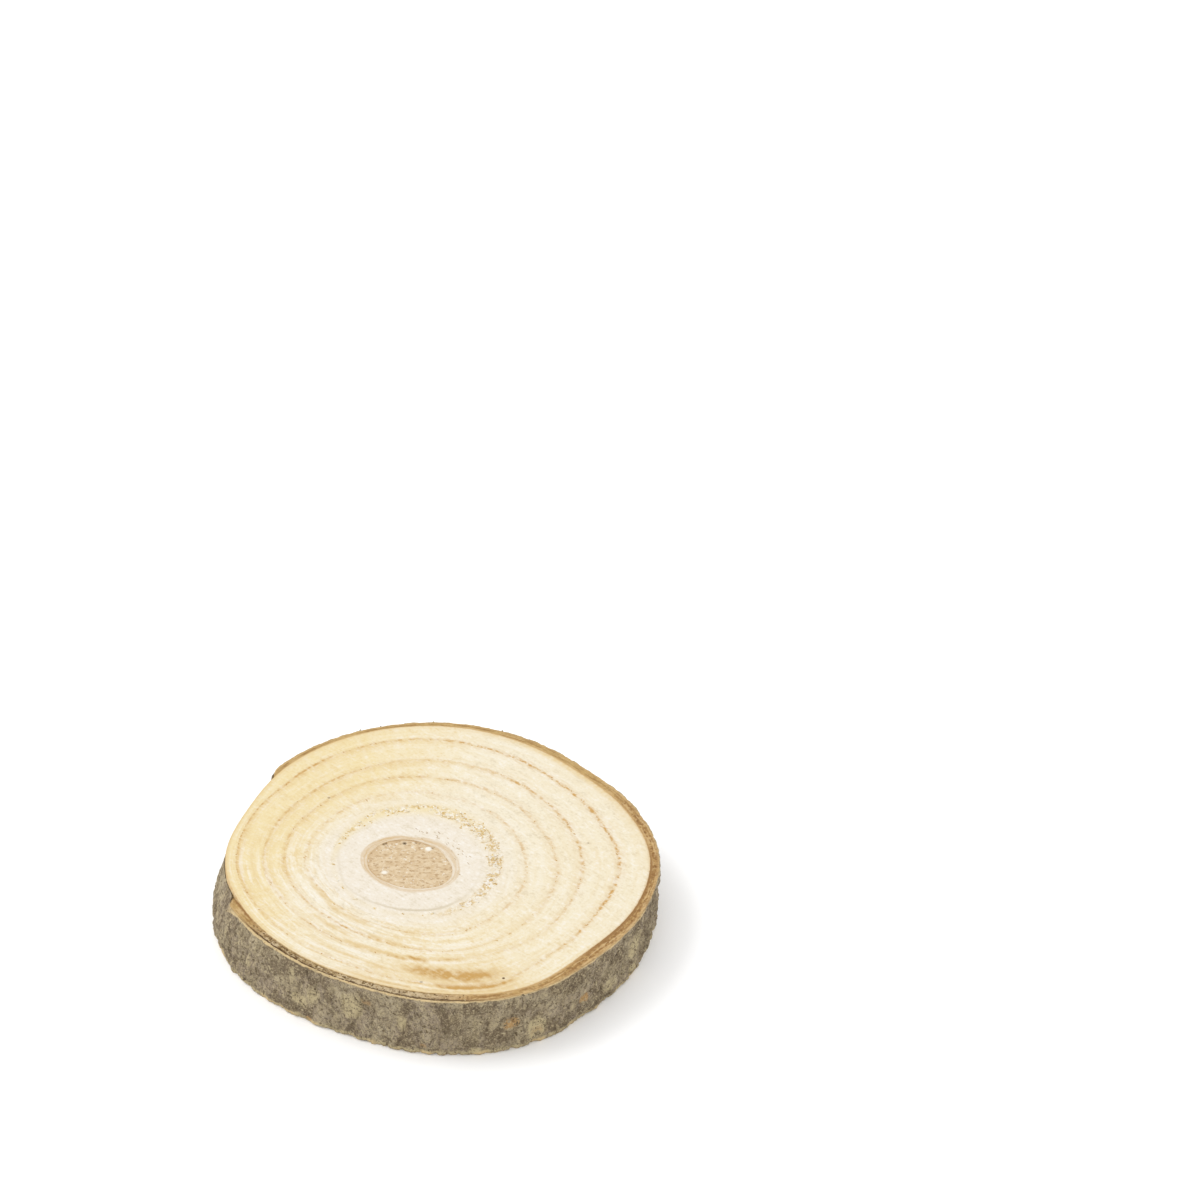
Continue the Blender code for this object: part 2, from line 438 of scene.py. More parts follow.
class Value:
    """A number in a material's nodes, which Python's operators work on."""

    def __init__(self, tree: "Tree", socket: bpy.types.NodeSocket) -> None:
        """Wrap a node's output."""
        self.tree = tree
        self.socket = socket

    def __add__(self, other: "Value | float") -> "Value":
        """Sum."""
        return self.tree.maths("ADD", self, other)

    def __sub__(self, other: "Value | float") -> "Value":
        """Difference."""
        return self.tree.maths("SUBTRACT", self, other)

    def __rsub__(self, other: float) -> "Value":
        """Difference from a plain number."""
        return self.tree.maths("SUBTRACT", other, self)

    def __mul__(self, other: "Value | float") -> "Value":
        """Product."""
        return self.tree.maths("MULTIPLY", self, other)

    def __abs__(self) -> "Value":
        """Size without sign."""
        return self.tree.maths("ABSOLUTE", self)

    __radd__ = __add__
    __rmul__ = __mul__

    def held(self) -> "Value":
        """The value held between 0 and 1."""
        return self.rise(0.0, 1.0, "LINEAR")

    def swing(self, gain: float) -> "Value":
        """Turn noise, which lies about 0.5, into one that swings about 0."""
        return (self - 0.5) * gain

    def rise(self, low: float, high: float, shape: str = "SMOOTHSTEP") -> "Value":
        """Ease from 0 to 1 as the value goes from low to high.

        Args:
            low: Value at which the result is 0.
            high: Value at which it is 1, which may be the lower of the two.
            shape: Blender's name for the kind of easing.

        Returns:
            The eased value.
        """
        sockets = {"Value": self, "From Min": low, "From Max": high}
        node = self.tree.node("ShaderNodeMapRange", {"interpolation_type": shape}, sockets)
        return Value(self.tree, node.outputs[0])

    def near(self, middle: float, reach: float) -> "Value":
        """1 where the value is at the middle, easing to 0 at the reach on both sides."""
        return abs(self - middle).rise(reach, 0.0)


# A value, the numbers between which it eases from 0 to 1, a strength, and the colour it lays
Layer = tuple[Value, float, float, float, Colour]


class Tree:
    """Nodes of one material, round a Principled BSDF."""

    # Places of a colour Mix node's sockets, which share names
    MIX_FACTOR, MIX_UNDER, MIX_OVER, MIX_RESULT = 0, 6, 7, 2

    # How glossy the surfaces are, which are all matt
    SHINE = 0.2

    def __init__(self, name: str, roughness: float) -> None:
        """Make the material.

        Args:
            name: Name of the finish.
            roughness: Roughness of its whole surface.
        """
        self.material = bpy.data.materials.new(name)
        self.material.use_nodes = True
        self.nodes = self.material.node_tree.nodes
        self.links = self.material.node_tree.links
        self.shader = self.nodes["Principled BSDF"]
        self.shader.inputs["Roughness"].default_value = roughness
        self.shader.inputs["Specular IOR Level"].default_value = self.SHINE
        place = self.node("ShaderNodeTexCoord", {}, {}).outputs["Object"]
        self.spot = self.scaled(place, (1.0 / MM, 1.0 / MM, 1.0 / MM))

    def node(self, kind: str, settings: dict, sockets: dict) -> bpy.types.Node:
        """Add a node.

        Args:
            kind: Blender's name for the node's type.
            settings: Its properties, set first.
            sockets: A plain value, or a Value or output to link, for each input by name or place.

        Returns:
            The node.
        """
        node = self.nodes.new(kind)
        for name, setting in settings.items():
            if name == "stops":
                self.set_stops(node.color_ramp, setting)
            else:
                setattr(node, name, setting)
        for key, given in sockets.items():
            given = given.socket if isinstance(given, Value) else given
            if isinstance(given, bpy.types.NodeSocket):
                self.links.new(given, node.inputs[key])
            else:
                node.inputs[key].default_value = given
        return node

    def set_stops(self, ramp: bpy.types.ColorRamp, stops: Sequence[tuple[float, float]]) -> None:
        """Give a ramp its stops.

        Args:
            ramp: A new ramp, with the two stops that Blender gives it.
            stops: Pairs of place and grey level, in order.
        """
        while len(ramp.elements) < len(stops):
            ramp.elements.new(1.0)
        for element, (place, level) in zip(ramp.elements, stops):
            element.position = place
            element.color = (level, level, level, 1.0)

    def maths(self, operation: str, *operands: "Value | float") -> Value:
        """Work out a Math node's operation on values."""
        node = self.node("ShaderNodeMath", {"operation": operation}, dict(enumerate(operands)))
        return Value(self, node.outputs[0])

    def vector(self, operation: str, *operands: object) -> bpy.types.NodeSocket:
        """Work out a Vector Math node's operation."""
        node = self.node("ShaderNodeVectorMath", {"operation": operation}, dict(enumerate(operands)))
        return node.outputs[0]

    def distance(self, vector: bpy.types.NodeSocket, place: tuple[float, float, float]) -> Value:
        """Distance of a vector from a fixed place."""
        node = self.node("ShaderNodeVectorMath", {"operation": "DISTANCE"}, {0: vector, 1: place})
        return Value(self, node.outputs["Value"])

    def scaled(self, vector: bpy.types.NodeSocket,
               scale: tuple[float, float, float]) -> bpy.types.NodeSocket:
        """Scale a vector along each axis."""
        return self.vector("MULTIPLY", vector, scale)

    def moved(self, distance: float) -> bpy.types.NodeSocket:
        """The place on the piece, moved so that noise read there has another pattern."""
        return self.vector("ADD", self.spot, (distance, distance, distance))

    def mark(self, name: str) -> Value:
        """Read one of the piece's own attributes."""
        settings = {"attribute_type": "GEOMETRY", "attribute_name": name}
        return Value(self, self.node("ShaderNodeAttribute", settings, {}).outputs["Fac"])

    def noise(self, vector: bpy.types.NodeSocket, scale: float, detail: float = 2.0,
              roughness: float = 0.5) -> Value:
        """Read smooth noise, about 0.5 on average.

        Args:
            vector: Where to read it.
            scale: Swells in each unit of the vector.
            detail: How many finer layers it has.
            roughness: How strong they are.

        Returns:
            The noise.
        """
        sockets = {"Vector": vector, "Scale": scale, "Detail": detail, "Roughness": roughness}
        return Value(self, self.node("ShaderNodeTexNoise", {}, sockets).outputs[0])

    def cells(self, vector: bpy.types.NodeSocket, scale: float) -> Value:
        """Distance from the middle of the nearest of scattered cells."""
        sockets = {"Vector": vector, "Scale": scale}
        return Value(self, self.node("ShaderNodeTexVoronoi", {}, sockets).outputs["Distance"])

    def layered(self, vector: bpy.types.NodeSocket, layer: Value, length: float,
                width: float) -> bpy.types.NodeSocket:
        """Give a place for noise whose swells lie along layers.

        Args:
            vector: Place along the layers.
            layer: Place across them.
            length: Swells in each unit along them.
            width: Swells in each unit across them.

        Returns:
            The place.
        """
        up = self.node("ShaderNodeCombineXYZ", {}, {"Z": layer * width}).outputs[0]
        return self.vector("ADD", self.scaled(vector, (length, length, length)), up)

    def ramp(self, value: Value, stops: Sequence[tuple[float, float]]) -> Value:
        """Read a ramp of grey levels at a value."""
        node = self.node("ShaderNodeValToRGB", {"stops": stops}, {0: value})
        return Value(self, node.outputs[0])

    def mix(self, mask: Value | float, under: object, over: object) -> bpy.types.NodeSocket:
        """Lay one colour over another where a mask is 1."""
        sockets = {self.MIX_FACTOR: mask, self.MIX_UNDER: under, self.MIX_OVER: over}
        return self.node("ShaderNodeMix", {"data_type": "RGBA"}, sockets).outputs[self.MIX_RESULT]

    def lay(self, colour: object, *layers: Layer) -> bpy.types.NodeSocket:
        """Lay colours over another in turn.

        Args:
            colour: The colour under them.
            layers: The layers, the lowest first.

        Returns:
            The colour with them.
        """
        for value, low, high, strength, over in layers:
            colour = self.mix(value.rise(low, high) * strength, colour, over)
        return colour

    def finish(self, colour: bpy.types.NodeSocket, height: Value, depth: float) -> bpy.types.Material:
        """Feed the shader.

        Args:
            colour: Colour over the surface.
            height: Fine relief over the surface, about 0 to 1.
            depth: How deep that relief is, in millimetres.

        Returns:
            The material.
        """
        bump = self.node("ShaderNodeBump", {}, {"Strength": 1.0, "Distance": depth * MM, "Height": height})
        self.links.new(colour, self.shader.inputs["Base Color"])
        self.links.new(bump.outputs["Normal"], self.shader.inputs["Normal"])
        return self.material


@dataclass(frozen=True)
class SawnWood:
    """Finish of the sawn faces: cream wood, straw towards the back left, with ochre rings."""

    pale: Colour = on_top("F4EAD9")
    cream: Colour = on_top("F7EDD5")
    straw: Colour = on_top("F4E2B2")
    honey: Colour = on_top("EAD09B")
    grey_fleck: Colour = on_top("DFD2B8")
    fibre: Colour = on_top("FFFCF6")
    ring: Colour = on_top("D4A866")
    grey_ring: Colour = on_top("D9CBB0")
    stain: Colour = on_top("CDA15B")
    halo: Colour = on_top("D5B27B")
    ochre: Colour = on_top("E5C47E")
    speck: Colour = on_top("BF9756")
    # Painted shadow between the ridges of torn fibres
    torn_band_shadow: Colour = on_top("AB8A58")
    cambium: Colour = on_top("D3AE76")
    # Painted shade of the split's gap, laid on the wood's edge beside it
    seam: Colour = on_top("8A6D42")
    dot: Colour = on_top("6F5232")
    bare: Colour = on_side("D2B27C")
    roughness: float = 0.8

    # Rings, rays and saw marks, then dark dots, each as a place, a size and a strength
    ring_reach: float = 0.42
    fringe_share: float = 3.0
    ray_count: float = 26.0
    saw_degrees: float = 137.0
    year_shades: tuple[float, ...] = (0.0, 0.55, 0.8, 0.9, 0.8, 0.35)
    year_dusk: float = 1.5
    year_end: float = 0.15
    year_dawn: float = 0.35
    dots: tuple[tuple[float, ...], ...] = (
        (10.1, -26.6, 0.28, 1.0), (-1.3, -27.4, 0.32, 0.45),
        (-15.7, 13.6, 0.3, 0.5), (21.8, 3.2, 0.25, 0.35),
    )
    relief: float = 0.05

    def year_stops(self, levels: Sequence[float]) -> list[tuple[float, float]]:
        """Darken each year's growth up to its ring, from which the next year starts pale.

        Args:
            levels: The rings' places on the scale of growth, the last one the wood's edge.

        Returns:
            Stops of a ramp over the scale of growth.
        """
        last = levels[-1]
        stops = [(0.0, 0.0)]
        for level, shade in zip(levels, self.year_shades):
            stops += [((level - self.year_dusk) / last, shade * 0.2), ((level - self.year_end) / last, shade)]
            if level < last:
                stops.append(((level + self.year_dawn) / last, 0.02))
        return stops

    def material(self, levels: Sequence[float]) -> bpy.types.Material:
        """Build the finish.

        Args:
            levels: The rings' places on the scale of growth, the last one the wood's edge.

        Returns:
            The material.
        """
        tree = Tree("sawn_wood", self.roughness)
        wander = tree.noise(tree.spot, 0.35, 3.0).swing(0.5) + tree.noise(tree.spot, 1.7).swing(0.25)
        growth = tree.mark("growth") + wander
        warm = tree.mark("warm")
        flat = self.direction(tree)
        rays = tree.noise(tree.scaled(flat, (self.ray_count, self.ray_count, self.ray_count)), 1.0, 3.0)

        colour = tree.mix(growth.rise(11.5, 16.0), self.pale, self.cream)
        colour = tree.mix((warm * (1.0 + rays.swing(1.6))).held(), colour, self.straw)
        colour = self.lay_years(tree, flat, growth, colour, levels)
        colour = self.lay_flecks(tree, colour, warm)
        colour = self.lay_rings(tree, growth, colour, levels)
        colour = self.lay_stains(tree, colour)
        colour = self.lay_torn_band(tree, colour)
        colour = self.lay_halo(tree, flat, growth, colour)
        colour = self.lay_edge(tree, colour)
        height = tree.noise(tree.spot, 4.5, 2.0) * 0.5 + self.saw_marks(tree, 0.9, 4.5) * 0.5
        return tree.finish(colour, height, self.relief)

    def direction(self, tree: Tree) -> bpy.types.NodeSocket:
        """Give the direction away from the pith, level and of length 1.

        Args:
            tree: The material's nodes.

        Returns:
            The direction.
        """
        across, along = (pith + stem for pith, stem in zip(PLAN.pith_middle, PLAN.stem_middle))
        out = tree.vector("SUBTRACT", tree.spot, (across, along, 0.0))
        return tree.vector("NORMALIZE", tree.scaled(out, (1.0, 1.0, 0.0)))

    def bands(self, tree: Tree, flat: bpy.types.NodeSocket, growth: Value) -> Value:
        """Give faint bands of slower growth between the rings.

        Args:
            tree: The material's nodes.
            flat: Direction away from the pith.
            growth: The scale of growth.

        Returns:
            How clearly a band shows, and a little below 0 between them.
        """
        broad = tree.noise(tree.layered(flat, growth, 1.6, 1.25), 1.0, 2.0)
        fine = tree.noise(tree.layered(flat, growth, 4.0, 3.0), 1.0, 1.0)
        return broad.rise(0.5, 0.66) * (0.55 + fine.swing(2.4)) - broad.rise(0.46, 0.3) * 0.12

    def saw_marks(self, tree: Tree, length: float, width: float) -> Value:
        """Give short scratches of the saw, which all run one way.

        Args:
            tree: The material's nodes.
            length: Scratches in each millimetre along them.
            width: Scratches in each millimetre across them.

        Returns:
            Their noise.
        """
        turn = (0.0, 0.0, math.radians(-self.saw_degrees))
        along = tree.node("ShaderNodeMapping", {}, {"Vector": tree.spot, "Rotation": turn}).outputs[0]
        return tree.noise(tree.scaled(along, (length, width, length)), 1.0, 2.0)

    def lay_years(self, tree: Tree, flat: bpy.types.NodeSocket, growth: Value, colour: bpy.types.NodeSocket,
                  levels: Sequence[float]) -> bpy.types.NodeSocket:
        """Shade each year's growth, with the bands and fine lines that run along the rings.

        Args:
            tree: The material's nodes.
            flat: Direction away from the pith.
            growth: The scale of growth.
            colour: The colour under them.
            levels: The rings' places on the scale of growth.

        Returns:
            The colour with them.
        """
        feathered = growth + self.saw_marks(tree, 0.4, 1.9).swing(1.9)
        year = tree.ramp(feathered * (1.0 / levels[-1]), self.year_stops(levels))
        blotch = tree.noise(tree.spot, 0.5, 3.0).rise(0.3, 0.65)
        front = tree.mark("bands")
        bands = self.bands(tree, flat, feathered) * front
        dark = year * (0.18 + tree.mark("warm") * 0.58) * (0.4 + blotch * 0.9) + bands * 0.6
        lines = tree.noise(tree.layered(flat, growth, 2.6, 2.1), 1.0, 2.0)
        colour = tree.mix(dark.held(), colour, self.honey)
        colour = tree.mix(lines.rise(0.53, 0.66) * front * 0.4, colour, self.honey)
        return tree.mix(lines.rise(0.47, 0.36) * front * 0.38, colour, self.fibre)

    def lay_flecks(self, tree: Tree, colour: bpy.types.NodeSocket, warm: Value) -> bpy.types.NodeSocket:
        """Fleck the wood with the saw's scratches and its own grain.

        Args:
            tree: The material's nodes.
            colour: The colour under them.
            warm: How straw-coloured the wood is.

        Returns:
            The colour with them.
        """
        grain = tree.noise(tree.spot, 2.4, 3.0, 0.6)
        blot = tree.noise(tree.moved(13.0), 0.85, 2.0)
        texture = self.saw_marks(tree, 0.7, 2.8).swing(2.4) + self.saw_marks(tree, 0.35, 1.3).swing(1.2)
        texture = texture + grain.swing(3.4) + blot.swing(2.2)
        fleck = tree.mix(warm.rise(0.0, 0.45), self.grey_fleck, self.honey)
        colour = tree.mix((texture * -1.0).rise(0.0, 1.2) * 0.68, colour, fleck)
        return tree.mix(texture.rise(0.0, 1.2) * (0.55 - warm * 0.25), colour, self.fibre)

    def lay_rings(self, tree: Tree, growth: Value, colour: bpy.types.NodeSocket,
                  levels: Sequence[float]) -> bpy.types.NodeSocket:
        """Draw the growth rings: the first a smooth grey line, the others broken rows of pores.

        Args:
            tree: The material's nodes.
            growth: The scale of growth.
            colour: The colour under them.
            levels: The rings' places on the scale of growth.

        Returns:
            The colour with them.
        """
        stretches = tree.noise(tree.spot, 0.3, 2.0).rise(0.34, 0.62)
        dots = tree.noise(tree.spot, 1.1, 2.0).rise(0.44, 0.62)
        hairs = self.saw_marks(tree, 0.6, 2.2).rise(0.5, 0.64)
        vigour = tree.mark("vigour")
        first, *others, _ = levels
        colour = tree.mix(growth.near(first, self.ring_reach) * vigour * 0.9, colour, self.grey_ring)
        for level in others:
            line = growth.near(level, self.ring_reach) * (0.12 + dots * (0.4 + stretches * 0.55))
            fringe = growth.near(level, self.ring_reach * self.fringe_share)
            fringe = fringe * (0.08 + hairs * (0.16 + stretches * 0.3))
            colour = tree.mix(((line + fringe) * vigour).held(), colour, self.ring)
        return colour

    def lay_stains(self, tree: Tree, colour: bpy.types.NodeSocket) -> bpy.types.NodeSocket:
        """Lay the brown flames at the front, feathered along the saw's scratches, and dark dots.

        Args:
            tree: The material's nodes.
            colour: The colour under them.

        Returns:
            The colour with them.
        """
        feather = self.saw_marks(tree, 0.35, 1.6).swing(1.5) + tree.noise(tree.spot, 1.1, 3.0).swing(1.9)
        stain = tree.mark("stain") * (1.0 + feather)
        colour = tree.lay(colour, (stain, 0.0, 0.6, 0.6, self.honey), (stain, 0.25, 1.7, 0.95, self.stain))
        for across, along, size, strength in self.dots:
            away = tree.distance(tree.spot, (across, along, PLAN.thickness))
            colour = tree.lay(colour, (away, size, size * 0.4, strength, self.dot))
        return colour

    def lay_torn_band(self, tree: Tree, colour: bpy.types.NodeSocket) -> bpy.types.NodeSocket:
        """Speckle the band where the saw tore the wood: ochre, white fibres and thin lines of painted shadow
        between them.

        Args:
            tree: The material's nodes.
            colour: The colour under them.

        Returns:
            The colour with them.
        """
        torn = tree.mark("torn").rise(0.05, 0.6)
        ochre = tree.noise(tree.moved(5.0), 0.8, 2.0).rise(0.44, 0.58)
        tufts = tree.noise(tree.moved(7.0), 1.7, 2.0).rise(0.48, 0.6)
        # Thin lines of painted shadow, as between ridges of torn fibres
        thin_lines = tree.noise(tree.spot, 1.5, 2.0).near(0.5, 0.055)
        pits = tree.noise(tree.moved(11.0), 1.9, 2.0).rise(0.58, 0.66)
        colour = tree.mix(tree.mark("tint") * 0.95, colour, self.straw)
        colour = tree.mix(torn * ochre * 0.65, colour, self.ochre)
        colour = tree.mix(torn * tufts * 0.65, colour, self.fibre)
        # Painted shadow lines between the torn fibres
        colour = tree.mix(torn * thin_lines * (0.2 + ochre * 0.35), colour, self.torn_band_shadow)
        return tree.mix(torn * pits * 0.5, colour, self.speck)

    def lay_halo(self, tree: Tree, flat: bpy.types.NodeSocket, growth: Value,
                 colour: bpy.types.NodeSocket) -> bpy.types.NodeSocket:
        """Lay the tan halo round the pith, in thin uneven lines."""
        lines = tree.noise(tree.layered(flat, growth, 2.0, 5.0), 1.0, 2.0).swing(2.4)
        return tree.mix((tree.mark("halo") * (1.0 + lines)).held(), colour, self.halo)

    def lay_edge(self, tree: Tree, colour: bpy.types.NodeSocket) -> bpy.types.NodeSocket:
        """Tint the wood's outer edge, with painted shade darkening it beside the split, and its bare side.

        Args:
            tree: The material's nodes.
            colour: The colour under the tints.

        Returns:
            The colour with them.
        """
        growth = tree.mark("growth")
        uneven = tree.noise(tree.spot, 1.5, 2.0).swing(1.4)
        warmed = growth.rise(29.3, 30.8) * tree.mark("blush") * (0.75 + uneven)
        colour = tree.mix(warmed.held(), colour, self.honey)
        colour = tree.mix((growth.rise(30.6, 31.05) * (0.75 + uneven)).held(), colour, self.cambium)
        # Painted shade: darkens the wood's edge along the split, where the gap beside it falls in shade
        seam = growth.rise(30.7, 31.0) * tree.mark("seam") * (0.4 + uneven)
        colour = tree.mix(seam.held(), colour, self.seam)
        return tree.mix(tree.mark("side") * 0.8, colour, self.bare)


@dataclass(frozen=True)
class Pith:
    """Finish of the pith: soft pinkish tan, flecked with brown, with a brown edge and painted shade in its
    holes.
    """

    tan: Colour = on_top("DABF98")
    light: Colour = on_top("E8D2AF")
    fleck: Colour = on_top("B08D64")
    edge: Colour = on_top("B88F5C")
    # Painted shade in the pith's holes
    hole: Colour = on_top("5B452E")
    white: Colour = on_top("FFFAEE")
    roughness: float = 0.9
    relief: float = 0.08

    def material(self) -> bpy.types.Material:
        """Build the finish.

        Returns:
            The material.
        """
        tree = Tree("pith", self.roughness)
        coarse = tree.noise(tree.spot, 1.0, 3.0, 0.65)
        dashes = tree.noise(tree.scaled(tree.spot, (1.5, 2.4, 1.5)), 1.0, 2.0)
        cells = tree.cells(tree.spot, 0.95)
        flakes = tree.noise(tree.moved(9.0), 2.4, 1.0)
        colour = tree.lay(
            tree.mix(coarse.rise(0.38, 0.62), self.tan, self.light),
            (dashes, 0.53, 0.66, 0.6, self.fleck),
            (dashes, 0.44, 0.34, 0.4, self.light),
            (cells, 0.2, 0.09, 0.7, self.fleck),
            (flakes, 0.66, 0.72, 0.6, self.white),
        )
        colour = tree.mix(tree.mark("rim") * 0.75, colour, self.edge)
        # Painted shade in the holes, which are also sunk into the pith
        colour = tree.mix(tree.mark("hole"), colour, self.hole)
        colour = tree.mix(tree.mark("white"), colour, self.white)
        return tree.finish(colour, dashes * 0.6 + cells * 0.5, self.relief)


@dataclass(frozen=True)
class InnerBark:
    """Finish of the inner bark: tan fibres, dark and dusty in the split with a painted shade line along its
    gap, and red where torn.
    """

    tan: Colour = on_top("C29C63")
    light: Colour = on_top("DDBD8A")
    brown: Colour = on_top("9A7141")
    dark: Colour = on_top("6A4E2D")
    soft: Colour = on_top("D6B17B")
    gold: Colour = on_top("CAAA6F")
    dust: Colour = on_top("DAC5A0")
    murk: Colour = on_top("B89D6F")
    gloom: Colour = on_top("8A6F4C")
    # Painted shade in the split's gap, next to the outer bark's crest
    gap: Colour = on_top("563F25")
    red: Colour = on_side("865640")
    umber: Colour = on_side("6B4A34")
    roughness: float = 0.85
    relief: float = 0.12

    def material(self) -> bpy.types.Material:
        """Build the finish.

        Returns:
            The material.
        """
        tree = Tree("inner_bark", self.roughness)
        speckle = tree.noise(tree.spot, 1.2, 3.0, 0.65)
        fine = tree.noise(tree.spot, 2.6, 2.0)
        fibres = tree.noise(tree.scaled(tree.spot, (3.2, 3.2, 0.4)), 1.0, 3.0, 0.6)
        across = tree.mark("across")
        layers = tree.noise(tree.layered(tree.spot, across, 0.35, 4.5), 1.0, 2.0)
        uneven = across + speckle.swing(0.4)
        colour = tree.lay(
            tree.mix(speckle.rise(0.4, 0.6), self.brown, self.tan),
            (fine, 0.54, 0.66, 0.55, self.light),
            (fine, 0.44, 0.35, 0.55, self.dark),
        )
        colour = tree.lay(
            tree.mix(tree.mark("calm") * 0.68, colour, self.gold),
            (layers, 0.53, 0.62, 0.6, self.brown),
            (layers, 0.46, 0.37, 0.6, self.light),
            (across, 0.35, 0.0, 0.7, self.soft),
            (across, 0.6, 1.0, 0.4, self.light),
        )
        colour = tree.mix(uneven.rise(0.42, 0.18) * tree.mark("brink") * 0.85, colour, self.brown)
        colour = tree.mix(tree.mark("split"), colour, self.in_split(tree, speckle, fine, across))
        # Painted shade: a dark line along the split's gap, near the crest
        colour = tree.mix(uneven.rise(0.7, 0.86) * tree.mark("seam"), colour, self.gap)
        red = tree.mix(fibres.rise(0.35, 0.65), self.umber, self.red)
        colour = tree.mix((tree.mark("torn") * (0.7 + fibres.swing(1.0))).held(), colour, red)
        return tree.finish(colour, speckle * 0.6 + fibres * 0.5 + fine * 0.3, self.relief)

    def in_split(self, tree: Tree, speckle: Value, fine: Value, across: Value) -> bpy.types.NodeSocket:
        """Give the murky, dusty colour in the split, with painted shade in the gaps between its grains.

        Args:
            tree: The material's nodes.
            speckle: Noise of its blotches.
            fine: Noise of its smallest grains.
            across: How far across the inner bark a point lies, out from the wood.

        Returns:
            The colour.
        """
        grains = tree.noise(tree.layered(tree.moved(7.0), across, 0.8, 4.0), 1.0, 2.0)
        colour = tree.lay(
            tree.mix(speckle.rise(0.38, 0.52), self.gloom, self.murk),
            (grains, 0.53, 0.61, 0.85, self.dust),
            # Painted shade in the gaps between the dust grains
            (grains, 0.46, 0.38, 0.85, self.dark),
            (fine, 0.53, 0.62, 0.4, self.dust),
            (fine, 0.44, 0.36, 0.4, self.dark),
        )
        return tree.mix(tree.mark("dusty") * (0.6 + fine.swing(1.5)).held(), colour, self.dust)


@dataclass(frozen=True)
class OuterBark:
    """Finish of the outer bark: mottled grey and olive, pale where the saw cut its edge, with painted shade
    in its furrows.
    """

    grey: Colour = on_side("9E8F7A")
    olive: Colour = on_side("A4967A")
    ash: Colour = on_side("BAAC90")
    umber: Colour = on_side("776853")
    dark: Colour = on_side("54473A")
    speck: Colour = on_side("CDBB94")
    lichen: Colour = on_side("C8B890")
    ochre: Colour = on_side("C2985F")
    cut: Colour = on_top("E1C796")
    torn: Colour = on_side("946B44")
    roughness: float = 0.92
    relief: float = 0.12

    def material(self) -> bpy.types.Material:
        """Build the finish.

        Returns:
            The material.
        """
        tree = Tree("bark", self.roughness)
        tall = tree.scaled(tree.spot, (1.0, 1.0, 0.95))
        patches = tree.noise(tree.spot, 0.17, 3.0, 0.6)
        broad = tree.noise(tree.scaled(tree.moved(3.0), (1.0, 1.0, 0.75)), 0.32, 3.0, 0.55)
        mottle = tree.noise(tall, 0.9, 4.0, 0.62)
        grains = tree.noise(tall, 2.1, 3.0, 0.62)
        fine = tree.noise(tall, 4.0, 2.0)
        streaks = tree.noise(tree.scaled(tree.moved(23.0), (1.0, 1.0, 0.35)), 0.7, 3.0, 0.55)
        thin_lines = tree.noise(tall, 1.2, 2.0).near(0.5, 0.02)
        cracks = tree.noise(tree.scaled(tree.moved(17.0), (1.0, 1.0, 0.6)), 0.8, 3.0).near(0.5, 0.018)
        colour = tree.lay(
            tree.mix(patches.rise(0.4, 0.6), self.grey, self.olive),
            (broad, 0.5, 0.4, 0.95, self.umber),
            (broad, 0.53, 0.66, 0.65, self.ash),
            (streaks, 0.49, 0.36, 0.5, self.umber),
            (streaks, 0.54, 0.68, 0.35, self.lichen),
            (mottle, 0.5, 0.36, 0.65, self.umber),
            (grains, 0.45, 0.33, 0.55, self.dark),
            (grains, 0.54, 0.68, 0.45, self.speck),
        )
        colour = self.lay_patches(tree, mottle.swing(2.2) + grains.swing(1.2), colour)
        colour = tree.mix(thin_lines * 0.45, colour, self.speck)
        colour = tree.mix(cracks * 0.7, colour, self.dark)
        colour = tree.lay(colour, (fine, 0.55, 0.68, 0.4, self.speck), (fine, 0.44, 0.32, 0.5, self.dark))
        # Painted shade in the furrows of the side and on the inner wall
        colour = tree.mix(tree.mark("hollow") * 0.45, colour, self.dark)
        colour = tree.mix((tree.mark("cut") * (1.0 + grains.swing(1.6))).held(), colour, self.cut)
        colour = tree.mix((tree.mark("torn") * (0.8 + grains.swing(2.0))).held(), colour, self.torn)
        return tree.finish(colour, mottle * 0.5 + grains * 0.8 + fine * 0.4, self.relief)

    def lay_patches(self, tree: Tree, ragged: Value, colour: bpy.types.NodeSocket) -> bpy.types.NodeSocket:
        """Lay the pale, dark and ochre patches, with ragged edges.

        Args:
            tree: The material's nodes.
            ragged: Noise, about 0, that makes their edges uneven.
            colour: The colour under them.

        Returns:
            The colour with them.
        """
        looks = (
            ("lichen", self.lichen, 0.85, 0.7),
            ("gloom", self.umber, 0.85, 0.7),
            ("rust", self.ochre, 0.75, 0.4),
        )
        for name, over, strength, rough in looks:
            patch = tree.mark(name) * (1.0 + ragged * rough)
            colour = tree.lay(colour, (patch, 0.3, 0.85, strength, over))
        return colour


@dataclass(frozen=True)
class Crumb:
    """Finish of small loose things: two colours that change from one of them to the next."""

    name: str
    light: Colour
    dark: Colour
    roughness: float = 0.9
    relief: float = 0.02

    def material(self) -> bpy.types.Material:
        """Build the finish.

        Returns:
            The material.
        """
        tree = Tree(self.name, self.roughness)
        colour = tree.mix(tree.noise(tree.spot, 1.3, 2.0).rise(0.38, 0.62), self.dark, self.light)
        return tree.finish(colour, tree.noise(tree.spot, 9.0, 1.0), self.relief)


